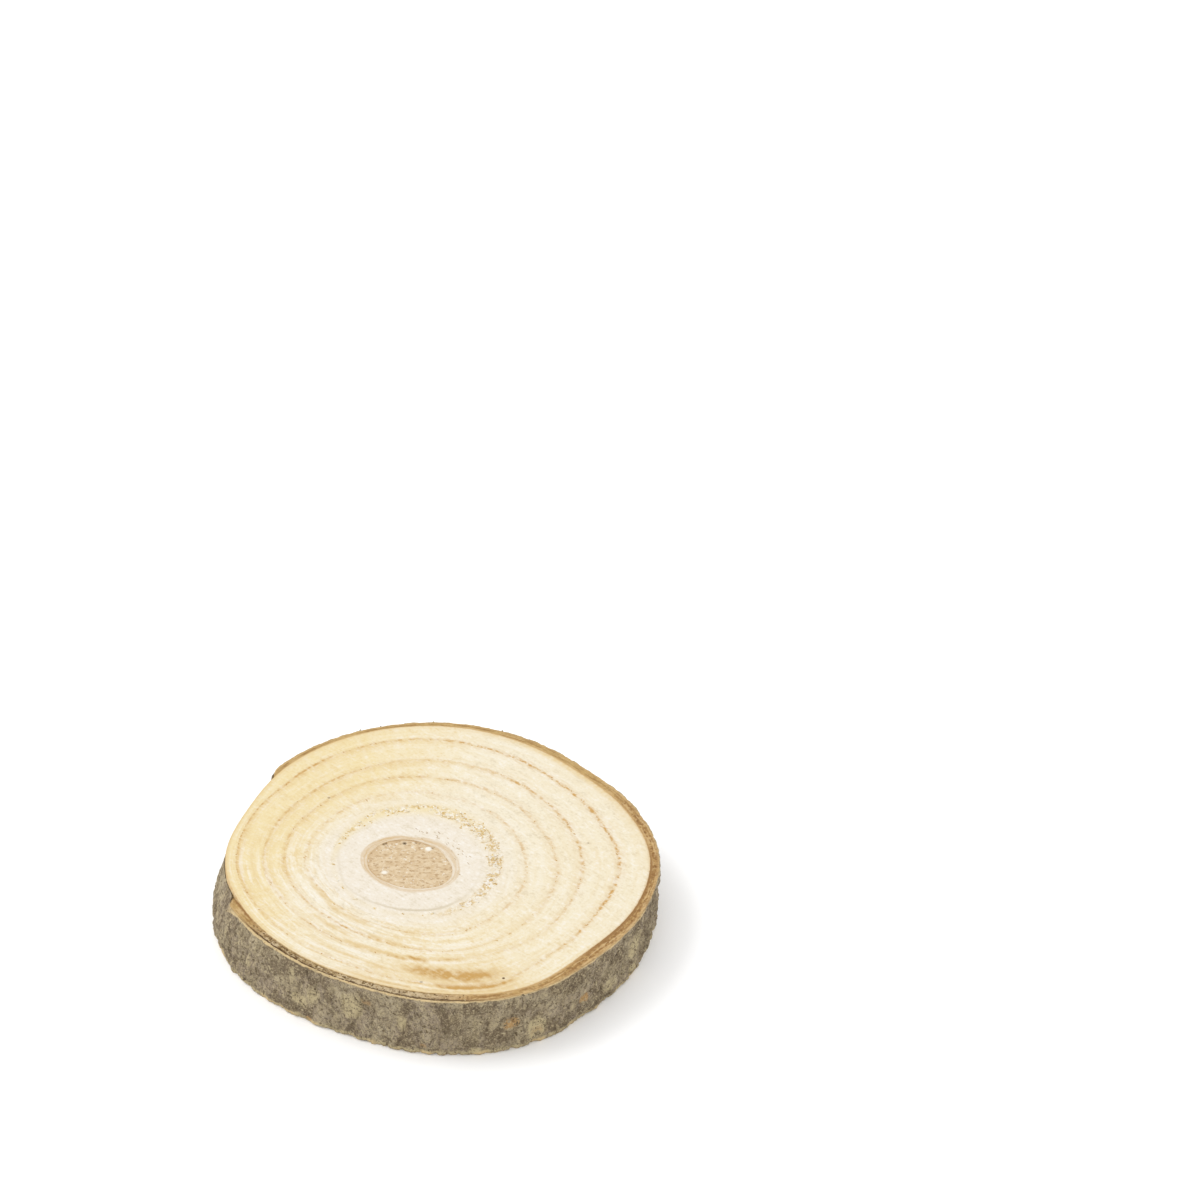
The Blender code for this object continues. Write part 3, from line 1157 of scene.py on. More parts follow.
class ScatterTree:
    """Geometry Nodes that scatter small closed crumbs over a surface, as one of its marks says."""

    INPUTS = (
        ("Geometry", "NodeSocketGeometry"),
        ("Mark", "NodeSocketString"),
        ("Crumbs per m2", "NodeSocketFloat"),
        ("Least Size", "NodeSocketVector"),
        ("Greatest Size", "NodeSocketVector"),
        ("Least Turn", "NodeSocketVector"),
        ("Greatest Turn", "NodeSocketVector"),
        ("Ragged", "NodeSocketFloat"),
        ("Seed", "NodeSocketInt"),
        ("Finish", "NodeSocketMaterial"),
    )

    # Swells of the noise across one crumb
    LUMPINESS = 2.3

    def __init__(self) -> None:
        """Build the tree."""
        self.group = bpy.data.node_groups.new("scatter", "GeometryNodeTree")
        for name, kind in self.INPUTS:
            self.group.interface.new_socket(name, in_out="INPUT", socket_type=kind)
        self.group.interface.new_socket("Geometry", in_out="OUTPUT", socket_type="NodeSocketGeometry")
        given = self.node("NodeGroupInput", {}, {}).outputs
        mark = self.node("GeometryNodeInputNamedAttribute", {"data_type": "FLOAT"}, {"Name": given["Mark"]})
        density = self.node("ShaderNodeMath", {"operation": "MULTIPLY"},
                            {0: mark.outputs["Attribute"], 1: given["Crumbs per m2"]})
        points = self.node("GeometryNodeDistributePointsOnFaces", {},
                           {"Mesh": given["Geometry"], "Density": density.outputs[0], "Seed": given["Seed"]})
        upright = self.node("FunctionNodeAlignRotationToVector", {"axis": "Z"},
                            {"Vector": points.outputs["Normal"]})
        turn = self.random_vector(given["Least Turn"], given["Greatest Turn"], given["Seed"])
        turned = self.node("FunctionNodeRotateRotation", {"rotation_space": "LOCAL"},
                           {"Rotation": upright.outputs[0], "Rotate By": turn})
        size = self.random_vector(given["Least Size"], given["Greatest Size"], given["Seed"])
        placed = self.node("GeometryNodeInstanceOnPoints", {},
                           {"Points": points.outputs["Points"], "Instance": self.crumb(given["Ragged"]),
                            "Rotation": turned.outputs[0], "Scale": size})
        plain = self.node("GeometryNodeRealizeInstances", {}, {0: placed.outputs[0]})
        dressed = self.node("GeometryNodeSetMaterial", {},
                            {"Geometry": plain.outputs[0], "Material": given["Finish"]})
        self.node("NodeGroupOutput", {}, {0: dressed.outputs[0]})

    def node(self, kind: str, settings: dict, sockets: dict) -> bpy.types.Node:
        """Add a node.

        Args:
            kind: Blender's name for the node's type.
            settings: Its properties, set first.
            sockets: A plain value or an output to link, for each input by name or place.

        Returns:
            The node.
        """
        node = self.group.nodes.new(kind)
        for name, setting in settings.items():
            setattr(node, name, setting)
        for key, given in sockets.items():
            if isinstance(given, bpy.types.NodeSocket):
                self.group.links.new(given, node.inputs[key])
            else:
                node.inputs[key].default_value = given
        return node

    def random_vector(self, least: bpy.types.NodeSocket, greatest: bpy.types.NodeSocket,
                      seed: bpy.types.NodeSocket) -> bpy.types.NodeSocket:
        """Choose a vector between two others for each point."""
        sockets = {"Min": least, "Max": greatest, "Seed": seed}
        return self.node("FunctionNodeRandomValue", {"data_type": "FLOAT_VECTOR"}, sockets).outputs[0]

    def crumb(self, ragged: bpy.types.NodeSocket) -> bpy.types.NodeSocket:
        """Make the ragged lump, one unit across, that every crumb is a copy of.

        Args:
            ragged: How uneven it is.

        Returns:
            Its mesh.
        """
        ball = self.node("GeometryNodeMeshIcoSphere", {}, {"Radius": 0.5, "Subdivisions": 1})
        bumps = self.node("ShaderNodeTexNoise", {}, {"Scale": self.LUMPINESS, "Detail": 1.0})
        swing = self.node("ShaderNodeVectorMath", {"operation": "SUBTRACT"},
                          {0: bumps.outputs["Color"], 1: (0.5, 0.5, 0.5)})
        offset = self.node("ShaderNodeVectorMath", {"operation": "SCALE"},
                           {0: swing.outputs[0], "Scale": ragged})
        moved = self.node("GeometryNodeSetPosition", {},
                          {"Geometry": ball.outputs["Mesh"], "Offset": offset.outputs[0]})
        return moved.outputs[0]


@dataclass(frozen=True)
class Scatter:
    """One kind of crumb: how thickly it lies, and its sizes and turns, in mm and degrees."""

    name: str
    mark: str
    per_mm2: float
    least: tuple[float, float, float]
    greatest: tuple[float, float, float]
    finish: Crumb
    slot: str
    seed: int
    facing: float = 0.0
    spread: float = 180.0
    tilt: float = 20.0
    ragged: float = 0.5

    def build(self, tree: ScatterTree, ground: bpy.types.Object) -> bpy.types.Object:
        """Scatter the crumbs over a piece.

        Args:
            tree: The nodes that scatter them.
            ground: The piece that they lie on.

        Returns:
            The crumbs as one piece.
        """
        tilt, facing, spread = np.radians((self.tilt, self.facing, self.spread)).tolist()
        inputs = {
            "Mark": self.mark,
            "Crumbs per m2": self.per_mm2 / MM ** 2,
            "Least Size": [size * MM for size in self.least],
            "Greatest Size": [size * MM for size in self.greatest],
            "Least Turn": [-tilt, -tilt, facing - spread],
            "Greatest Turn": [tilt, tilt, facing + spread],
            "Ragged": self.ragged,
            "Seed": self.seed,
            "Finish": self.finish.material(),
        }
        carrier = bpy.data.objects.new(self.name + "_carrier", ground.data)
        bpy.context.scene.collection.objects.link(carrier)
        modifier = carrier.modifiers.new("scatter", "NODES")
        modifier.node_group = tree.group
        for socket in tree.group.interface.items_tree:
            if socket.in_out == "INPUT" and socket.name in inputs:
                modifier[socket.identifier] = inputs[socket.name]
        evaluated = carrier.evaluated_get(bpy.context.evaluated_depsgraph_get())
        mesh = bpy.data.meshes.new_from_object(evaluated)
        carrier.modifiers.clear()
        bpy.data.objects.remove(carrier)
        mesh.name = self.name
        piece = bpy.data.objects.new(self.name, mesh)
        bpy.context.scene.collection.objects.link(piece)
        settle(piece)
        return piece


@dataclass
class Wood:
    """The sawn wood, a ring round the pith: two sawn faces and the side under the bark.

    Places on the faces are levels on a scale of growth, on which each growth ring is at one number
    all the way round. Tuples of 16 numbers are read about the pith's middle, as the plan's rings.
    """

    points_around: int = 480

    # Steps between the rings of points, on the upper face and then on the lower
    level_steps: tuple[float, float] = (0.26, 0.8)
    halo_level_steps: tuple[float, float] = (0.1, 0.2)
    ring_steps: tuple[tuple[float, ...], ...] = (
        (-0.3, -0.18, -0.08, 0.0, 0.08, 0.18, 0.3),
        (-0.2, 0.0, 0.2),
    )

    # The scale of growth, and the halo round the pith
    pith_level: float = 5.7
    halo_level: float = 6.5
    halo_line: float = 0.14
    halo_fade: float = 0.15
    halo_flank: Flank = Flank(150.0, -0.2, 0.9)
    pale_level: float = 5.88
    pale_reach: float = 0.08
    ring_levels: tuple[float, ...] = (10.4, 15.8, 19.3, 22.4, 27.0)
    edge_level: float = 31.0
    edge_steps: tuple[float, ...] = (0.0, 0.06, 0.14, 0.3)
    edge_rounding: float = 0.05
    edge_reach: float = 0.14
    halo_end: float = 6.9

    # The hole that the pith fills, and the side under the bark
    hole_margin: float = 0.5
    side_rows: int = 12
    side_swell: Swell = Swell(0.06, 1.1, 4.0)
    bare_height: float = 2.0

    # Relief of the faces
    groove_depth: float = 0.03
    groove_reach: float = 0.16
    pore_reach: float = 0.13
    pit_depth: float = 0.22
    pit_scale: float = 0.6
    pit_start: float = -0.1
    clump_scale: float = 1.9
    clump_start: float = -0.45
    clump_span: float = 0.75
    tint_narrowness: float = 0.6
    tint_strength: float = 0.85
    fuzz_depth: float = 0.02
    fuzz_scale: float = 0.7
    fuzz_start: float = 0.6

    # Where the wood is yellower, banded, torn, straw-coloured, blushed or stained
    yellow_flank: Flank = Flank(100.0, 0.1, 0.9)
    band_flank: Flank = Flank(-125.0, -0.1, 0.9)
    band_start: float = 11.5
    band_span: float = 3.0
    torn_middle: tuple[float, ...] = (11.9, 12.0, 12.4, 12.8, 12.9, 12.7, 12.1, 11.6,
                                      11.3, 10.9, 10.8, 10.9, 11.2, 11.8, 11.7, 11.8)
    torn_half: tuple[float, ...] = (1.0, 1.1, 1.15, 1.1, 1.0, 0.9, 0.7, 0.5,
                                    0.4, 0.35, 0.4, 0.4, 0.5, 0.7, 0.8, 0.9)
    torn_strength: tuple[float, ...] = (1.0, 1.0, 1.0, 0.9, 0.6, 0.55, 0.45, 0.35,
                                        0.2, 0.2, 0.25, 0.2, 0.1, 0.3, 0.65, 0.9)
    warm_sides: tuple[float, ...] = (0.18, 0.12, 0.08, 0.12, 0.6, 1.0, 1.0, 1.0,
                                     1.0, 1.0, 0.35, 0.14, 0.32, 0.38, 0.32, 0.18)
    warm_starts: tuple[float, ...] = (11.0, 12.0, 13.0, 12.0, 11.0, 11.0, 11.0, 11.0,
                                      12.5, 17.5, 17.0, 13.0, 8.5, 8.5, 8.5, 10.0)
    warm_span: float = 10.0
    blush: tuple[float, ...] = (0.1, 0.7, 1.0, 0.8, 0.4, 0.5, 0.9, 1.0,
                                1.0, 1.0, 0.5, 0.6, 1.0, 1.0, 0.0, 0.0)
    dashes: Patch = Patch(38.0, 7.5, 42.0, 0.8)
    stains: tuple[Patch, ...] = (
        Patch(-76.0, 25.0, 16.0, 1.15, 1.45, 0.7),
        Patch(-71.0, 27.5, 12.0, 0.95, 1.7, 0.3),
        Patch(-80.0, 25.0, 26.0, 3.4, 0.3),
        Patch(-86.5, 22.3, 4.0, 0.5, 1.6, 0.45),
        Patch(-95.0, 22.3, 5.0, 0.45, 0.95, 0.4),
        Patch(-75.0, 22.3, 6.5, 0.5, 0.75, 0.1),
        Patch(-100.0, 19.05, 10.0, 0.6, 0.85, 0.1),
        Patch(-109.0, 21.9, 12.0, 0.6, 0.6),
        Patch(-99.0, 25.2, 9.0, 0.6, 0.6, 0.2),
        Patch(-90.0, 29.3, 24.0, 0.7, 0.75),
        Patch(-72.0, 29.4, 15.0, 1.0, 0.65),
        Patch(-130.0, 16.7, 18.0, 0.7, 0.6),
        Patch(-152.0, 16.3, 12.0, 0.6, 0.5),
        Patch(-128.0, 20.6, 16.0, 0.6, 0.5),
        Patch(-118.0, 24.8, 14.0, 0.6, 0.5),
    )

    def levels(self, face: SawnFace) -> np.ndarray:
        """Levels of growth from the wood's edge in to the pith, closer together at each ring.

        Args:
            face: The sawn face. The lower one, which is seldom seen, has fewer.

        Returns:
            The levels, the outermost first.
        """
        choices = (self.level_steps, self.halo_level_steps, self.ring_steps)
        step, halo_step, ring_steps = (steps[face is SawnFace.LOWER] for steps in choices)
        even = np.arange(self.halo_end, self.edge_level - self.edge_steps[-1], step)
        near = np.add.outer(self.ring_levels, ring_steps)
        far = np.abs(np.subtract.outer(even, self.ring_levels)).min(axis=1) > max(ring_steps)
        halo = np.arange(self.pith_level, self.halo_end, halo_step)
        edge = self.edge_level - np.array(self.edge_steps)
        return np.unique(np.concatenate([halo, even[far], near.ravel(), edge]))[::-1]

    def reaches(self, degrees: np.ndarray) -> tuple[np.ndarray, np.ndarray]:
        """How far out from the pith each known level of growth lies.

        Args:
            degrees: Angles about the middle of the stem.

        Returns:
            The angles about the pith's middle, and a row of distances for each known level.
        """
        rim = toward(degrees) * PLAN.edge_of_wood(degrees)[:, None] - (*PLAN.pith_middle, 0.0)
        turns = np.degrees(np.arctan2(rim[:, 1], rim[:, 0]))
        curves = [around(values, turns) for values in (PLAN.pith_edge, PLAN.halo, *PLAN.rings)]
        return turns, np.stack([*curves, np.hypot(rim[:, 0], rim[:, 1])])

    def torn(self, turns: np.ndarray, distance: np.ndarray) -> tuple[np.ndarray, np.ndarray]:
        """How torn the wood is in the band that the saw tore round the pith.

        Args:
            turns: Angles about the pith's middle.
            distance: How far out from it.

        Returns:
            How torn it is, in clumps, and how yellow it is there.
        """
        gap = (distance - around(self.torn_middle, turns)) / around(self.torn_half, turns)
        strength = share_around(self.torn_strength, turns)
        uneven = ripple(toward(turns) * distance[:, None], self.clump_scale)
        clumps = smooth((uneven - self.clump_start) / self.clump_span)
        yellow = (0.25 + 0.75 * self.yellow_flank.mark(turns)) * np.exp(-self.tint_narrowness * gap ** 2)
        return np.exp(-gap ** 4) * strength * (0.3 + 0.7 * clumps), yellow * self.tint_strength

    def warmth(self, turns: np.ndarray, level: float) -> np.ndarray:
        """How straw-coloured the wood is: most at the back left, and least near the pith."""
        started = smooth((level - around(self.warm_starts, turns)) / self.warm_span)
        return share_around(self.warm_sides, turns) * started

    def halo(self, turns: np.ndarray, level: float) -> np.ndarray:
        """How tan the wood is round the pith: a thin line, and inside it most on the left.

        Args:
            turns: Angles about the pith's middle.
            level: Level of growth.

        Returns:
            How tan it is at each angle.
        """
        left = self.halo_flank.mark(turns)
        line = math.exp(-((level - self.halo_level) / self.halo_line) ** 2)
        inside = (1.0 - line) * float(smooth((self.halo_level - level) / self.halo_fade))
        pale = math.exp(-((level - self.pale_level) / self.pale_reach) ** 2)
        inside *= 1.0 - 0.7 * pale * (1.0 - 0.6 * left)
        return line * (0.42 + 0.1 * left) + inside * (0.46 + 0.18 * left)

    def relief(self, points: np.ndarray, level: float, vigour: np.ndarray, torn: np.ndarray) -> np.ndarray:
        """Height of the sawn surface above its own plane: grooved rings, torn pits and fuzz.

        Args:
            points: Points of one level.
            level: Their level of growth.
            vigour: How strong the nearest ring is there.
            torn: How torn the wood is there.

        Returns:
            The height, which is mostly below 0.
        """
        nearest = min(abs(level - ring) for ring in self.ring_levels)
        groove = self.groove_depth * math.exp(-((nearest / self.groove_reach) ** 2)) * vigour
        pits = np.clip(ripple(points, self.pit_scale) - self.pit_start, 0.0, 1.0) * torn * self.pit_depth
        fuzz = np.minimum(0.0, ripple(points, self.fuzz_scale, shift=9.0) - self.fuzz_start)
        return self.fuzz_depth * fuzz - groove - pits

    def add_face(self, loft: Loft, face: SawnFace) -> None:
        """Add a sawn face's rings, out from the pith on the lower face and inward on the upper.

        Args:
            loft: The loft.
            face: Which face.
        """
        upper = face is SawnFace.UPPER
        levels = self.levels(face)
        plane = PLAN.thickness if upper else 0.0
        turns, known = self.reaches(loft.degrees)
        known_levels = (self.pith_level, self.halo_level, *self.ring_levels, self.edge_level)
        vigours = [share_around(values, turns) for values in PLAN.ring_vigour]
        middle = PLAN.leaned(plane) + (*PLAN.pith_middle, 0.0)
        # Where the split's painted shade goes on the wood's edge and in the inner bark's gap
        seam = stretch_of(loft.degrees, PLAN.split_angles)
        banded = 0.35 + 0.65 * self.band_flank.mark(turns)
        blush = share_around(self.blush, turns)
        for level in levels if upper else levels[::-1]:
            part = int(np.clip(np.searchsorted(known_levels, level, "right") - 1, 0, len(known_levels) - 2))
            share = (level - known_levels[part]) / (known_levels[part + 1] - known_levels[part])
            distance = blend(known[part], known[part + 1], share)
            points = toward(turns) * distance[:, None] + middle
            vigour = vigours[int(np.argmin([abs(level - ring) for ring in self.ring_levels]))]
            torn, tint = self.torn(turns, distance)
            torn *= float(upper)
            nearest = min(abs(level - ring) for ring in self.ring_levels[1:])
            pore = vigour * math.exp(-(nearest / self.pore_reach) ** 2) * float(upper)
            rounding = self.edge_rounding * max(0.0, 1.0 - (self.edge_level - level) / self.edge_reach) ** 2
            lift = self.relief(points, level, vigour, torn) - rounding
            points[:, 2] = plane + face.value * lift
            loft.add(points, growth=level, vigour=vigour, torn=torn, pore=pore, seam=seam,
                     stain=strongest(self.stains, turns, level) if upper else 0.0,
                     warm=self.warmth(turns, level), halo=self.halo(turns, level),
                     bands=banded * float(smooth((level - self.band_start) / self.band_span)),
                     tint=tint, blush=blush,
                     dashes=self.dashes.mark(turns, level) if upper else 0.0, side=0.0)

    def add_plain(self, loft: Loft, points: np.ndarray, level: float, side: float) -> None:
        """Add a ring of points that no face shows, on the wall of the pith's hole or the side."""
        loft.add(points, growth=level, vigour=0.0, torn=0.0, pore=0.0, seam=0.0, stain=0.0, warm=0.8,
                 halo=0.0, bands=0.0, tint=0.0, blush=0.0, dashes=0.0, side=side)

    def build(self, finish: SawnWood) -> bpy.types.Object:
        """Build the wood and dress it.

        Args:
            finish: Its finish.

        Returns:
            The piece.
        """
        loft = Loft("sawn_wood", self.points_around)
        self.add_face(loft, SawnFace.UPPER)
        turns, known = self.reaches(loft.degrees)
        for height in (PLAN.thickness - self.hole_margin, PLAN.thickness / 2.0, self.hole_margin):
            middle = PLAN.leaned(height) + (*PLAN.pith_middle, height)
            self.add_plain(loft, toward(turns) * known[0][:, None] + middle, self.pith_level, 0.0)
        self.add_face(loft, SawnFace.LOWER)
        edge = PLAN.edge_of_wood(loft.degrees)
        for share in np.linspace(0.0, 1.0, self.side_rows + 2)[1:-1]:
            height = share * PLAN.thickness
            out = self.side_swell.at(PLAN.stem(edge, loft.degrees, height))
            side = float(smooth((PLAN.thickness - height) / self.bare_height))
            self.add_plain(loft, PLAN.stem(edge + out, loft.degrees, height), self.edge_level, side)
        material = finish.material((*self.ring_levels, self.edge_level))
        return loft.dressed(True, material, "sawn_wood")


@dataclass
class PithPlug:
    """The pith, which runs through the slice and has shrunk a little below the sawn face.

    Its holes and white specks are each given as a place, a radius and a strength.
    """

    points_around: int = 240
    rows: int = 46
    sunk: float = 0.02
    rim_gap: float = 0.04
    rim_start: float = 0.9
    rim_shades: tuple[float, ...] = (0.15, 0.15, 0.2, 0.45, 1.0, 0.9, 0.35, 0.3,
                                     0.45, 0.65, 0.5, 0.3, 0.2, 0.15, 0.15, 0.15)
    overlap: float = 0.05
    innermost_share: float = 0.02
    lower_sponge: float = 0.3
    sponge: Swell = Swell(0.05, 0.5)
    hole_depth: float = 0.35
    white_height: float = 0.08
    holes: tuple[tuple[float, ...], ...] = (
        (-5.5, 3.4, 0.27, 1.0), (-8.5, 3.15, 0.2, 0.5), (-8.15, 3.3, 0.2, 0.45),
        (-3.85, 3.45, 0.2, 0.4), (-3.35, 3.3, 0.18, 0.35), (-1.5, 2.25, 0.18, 0.5),
    )
    whites: tuple[tuple[float, ...], ...] = (
        (-2.05, 2.0, 0.5, 1.0), (-8.2, -3.3, 0.45, 0.9), (-3.0, 2.1, 0.2, 0.7),
    )

    def spots(self, points: np.ndarray, spots: Sequence[Sequence[float]]) -> np.ndarray:
        """Mark round spots on the pith.

        Args:
            points: Where to read the mark.
            spots: The spots, each as its place, radius and strength.

        Returns:
            The mark at each point.
        """
        total = np.zeros(len(points))
        for across, along, radius, strength in spots:
            gap = np.hypot(points[:, 0] - across, points[:, 1] - along)
            total = np.maximum(total, strength * smooth((radius * 1.3 - gap) / (radius * 0.8)))
        return total

    def add_end(self, loft: Loft, face: SawnFace) -> None:
        """Add the rings of one end, inward on the upper end and outward on the lower.

        Args:
            loft: The loft.
            face: The sawn face that the end lies in.
        """
        upper = face is SawnFace.UPPER
        plane = PLAN.thickness if upper else 0.0
        middle = PLAN.leaned(plane) + (*PLAN.pith_middle, 0.0)
        edge = around(PLAN.pith_edge, loft.degrees) + self.overlap
        side = share_around(self.rim_shades, loft.degrees)
        shares = np.linspace(1.0, self.innermost_share, self.rows)
        for share in shares if upper else shares[::-1]:
            points = toward(loft.degrees) * (edge * share)[:, None] + middle
            # The holes are sunk here, and the finish paints shade in them
            hole = self.spots(points, self.holes) if upper else np.zeros_like(edge)
            white = self.spots(points, self.whites) if upper else np.zeros_like(edge)
            sponge = self.sponge.at(points) * (1.0 if upper else self.lower_sponge)
            rim = side * smooth((share - self.rim_start) / (1.0 - self.rim_start))
            shrink = self.sunk + self.rim_gap * rim
            depth = shrink - sponge + self.hole_depth * hole - self.white_height * white
            points[:, 2] = plane - face.value * depth
            loft.add(points, rim=rim, hole=hole, white=white)

    def build(self, finish: Pith) -> bpy.types.Object:
        """Build the pith and dress it.

        Args:
            finish: Its finish.

        Returns:
            The piece.
        """
        loft = Loft("pith", self.points_around)
        self.add_end(loft, SawnFace.LOWER)
        self.add_end(loft, SawnFace.UPPER)
        return loft.dressed(False, finish.material(), "pith")


@dataclass
class InnerBarkRing:
    """The brown inner bark, a ring between the wood and the outer bark."""

    points_around: int = 900
    top_rows: int = 12
    side_rows: int = 28

    # How far it reaches under the outer bark, and how far it drops
    sunk_in_wood: float = 0.1
    shell: float = 0.15
    cover: float = 0.6
    cover_start: float = 0.15
    cover_span: float = 0.7
    split_floor_span: float = 0.5
    split_share: float = 0.7
    torn_thickness: float = 0.2
    drop: float = 0.02
    split_drop: float = 0.1
    slope_drop: float = 1.0
    slope_cover: float = 0.5

    # Stretches of the rim, and sides of the slice, that look different
    dark_angles: tuple[float, ...] = (205.0, 221.0, 262.0, 282.0)
    dusty_angles: tuple[float, ...] = (238.0, 250.0, 272.0, 288.0)
    # Where the painted shade line runs along the split's gap
    seam_angles: tuple[float, ...] = (203.0, 213.0, 273.0, 289.0)
    front_calm: tuple[float, ...] = (274.0, 284.0, 296.0, 316.0)
    corner_calm: tuple[float, ...] = (190.0, 197.0, 208.0, 216.0)
    calm_flank: Flank = Flank(95.0, 0.1, 0.6)
    brink_angles: tuple[float, ...] = (192.0, 197.0, 205.0, 212.0)
    brink_flank: Flank = Flank(-22.0, 0.85, 0.1)

    # The bare band at the tear, the relief, and the lower edge
    bare_height: float = 1.9
    bare_ragged: tuple[Swell, Swell] = (Swell(0.9, 1.3), Swell(0.5, 0.5))
    fibres: tuple[Swell, Swell] = (Swell(0.08, 0.8, 5.0), Swell(0.05, 0.35, 6.0))
    crust: tuple[Swell, Swell] = (Swell(0.1, 0.6), Swell(0.08, 0.3, shift=5.0))
    foot_height: float = 0.12
    underside: float = 0.05
    underside_swell: Swell = Swell(0.03, 0.5)

    def outer(self, degrees: np.ndarray, height: np.ndarray) -> np.ndarray:
        """Radius of the inner bark's outer side.

        Args:
            degrees: Where to read it.
            height: How high, at each angle.

        Returns:
            The radius at each angle.
        """
        slot_floor = PLAN.thickness - PLAN.split_depth
        in_slot = smooth((height - slot_floor) / self.split_floor_span)
        split = stretch_of(degrees, PLAN.split_angles) * in_slot
        torn = stretch_of(degrees, PLAN.torn_through_angles)
        bark = PLAN.edge_of_crest(degrees) - PLAN.edge_of_wood(degrees)
        covered = smooth((PLAN.thickness - height - self.cover_start) / self.cover_span)
        cover = self.shell + self.cover * covered
        reach = blend(bark - cover, np.minimum(bark * self.split_share, bark - cover), split)
        reach = blend(reach, self.torn_thickness, torn)
        points = PLAN.stem(PLAN.edge_of_wood(degrees), degrees, height)
        fibres = sum(swell.at(points) for swell in self.fibres)
        return PLAN.edge_of_wood(degrees) + reach + fibres * (0.15 + 0.85 * torn + 0.8 * split)

    def rim_marks(self, degrees: np.ndarray) -> dict[str, np.ndarray | float]:
        """Marks that are the same all over the inner bark at each angle.

        Args:
            degrees: The angles.

        Returns:
            The marks by name, with 0 for those of the sawn top alone.
        """
        calm = self.calm_flank.mark(degrees)
        calm = np.maximum(calm, 0.5 * stretch_of(degrees, self.front_calm))
        calm = np.maximum(calm, 0.8 * stretch_of(degrees, self.corner_calm))
        brink = np.maximum(self.brink_flank.mark(degrees), stretch_of(degrees, self.brink_angles))
        return {
            "split": stretch_of(degrees, self.dark_angles),
            "torn": stretch_of(degrees, PLAN.torn_inner_angles),
            "calm": calm,
            "brink": brink,
            "crumbs": 0.0,
            "dusty": 0.0,
            "seam": 0.0,
        }

    def build(self, finish: InnerBark) -> bpy.types.Object:
        """Build the inner bark and dress it.

        Args:
            finish: Its finish.

        Returns:
            The piece.
        """
        loft = Loft("inner_bark", self.points_around)
        degrees = loft.degrees
        split = stretch_of(degrees, PLAN.split_angles)
        torn = stretch_of(degrees, PLAN.torn_inner_angles)
        marks = self.rim_marks(degrees)
        top_marks = {
            **marks,
            "crumbs": marks["split"],
            "dusty": stretch_of(degrees, self.dusty_angles),
            "seam": stretch_of(degrees, self.seam_angles),
        }
        wood = PLAN.edge_of_wood(degrees)
        rim = toward(degrees) * wood[:, None]
        ragged = sum(swell.at(rim) for swell in self.bare_ragged)
        slope = stretch_of(degrees, PLAN.torn_outer_angles) - torn
        top = PLAN.thickness - self.drop - split * self.split_drop - torn * (self.bare_height + ragged)
        top -= slope * self.slope_drop + stretch_of(degrees, PLAN.torn_through_angles) * self.slope_cover
        for share in np.linspace(0.0, 1.0, self.side_rows):
            height = self.foot_height + share * (top - self.foot_height)
            points = PLAN.stem(self.outer(degrees, height), degrees, height)
            loft.add(points, across=1.0, **marks)
        root = wood - self.sunk_in_wood
        for share in np.linspace(1.0, 0.0, self.top_rows)[1:]:
            points = PLAN.stem(blend(root, self.outer(degrees, top), share), degrees, top)
            rough = sum(swell.at(points) for swell in self.crust) - 0.04
            points[:, 2] += rough * (0.45 + 1.2 * split) * math.sin(math.pi * share) ** 0.5
            loft.add(points, across=share, **top_marks)
        for height in (PLAN.thickness * 0.6, self.foot_height):
            loft.add(PLAN.stem(root, degrees, height), across=0.0, **marks)
        for share in (0.0, 0.35, 0.7, 1.0):
            points = PLAN.stem(blend(root, self.outer(degrees, np.zeros_like(degrees)), share), degrees, 0.0)
            points[:, 2] = self.underside + self.underside_swell.at(points)
            loft.add(points, across=share, **{**marks, "split": 0.0, "torn": 0.0})
        return loft.dressed(True, finish.material(), "inner_bark")


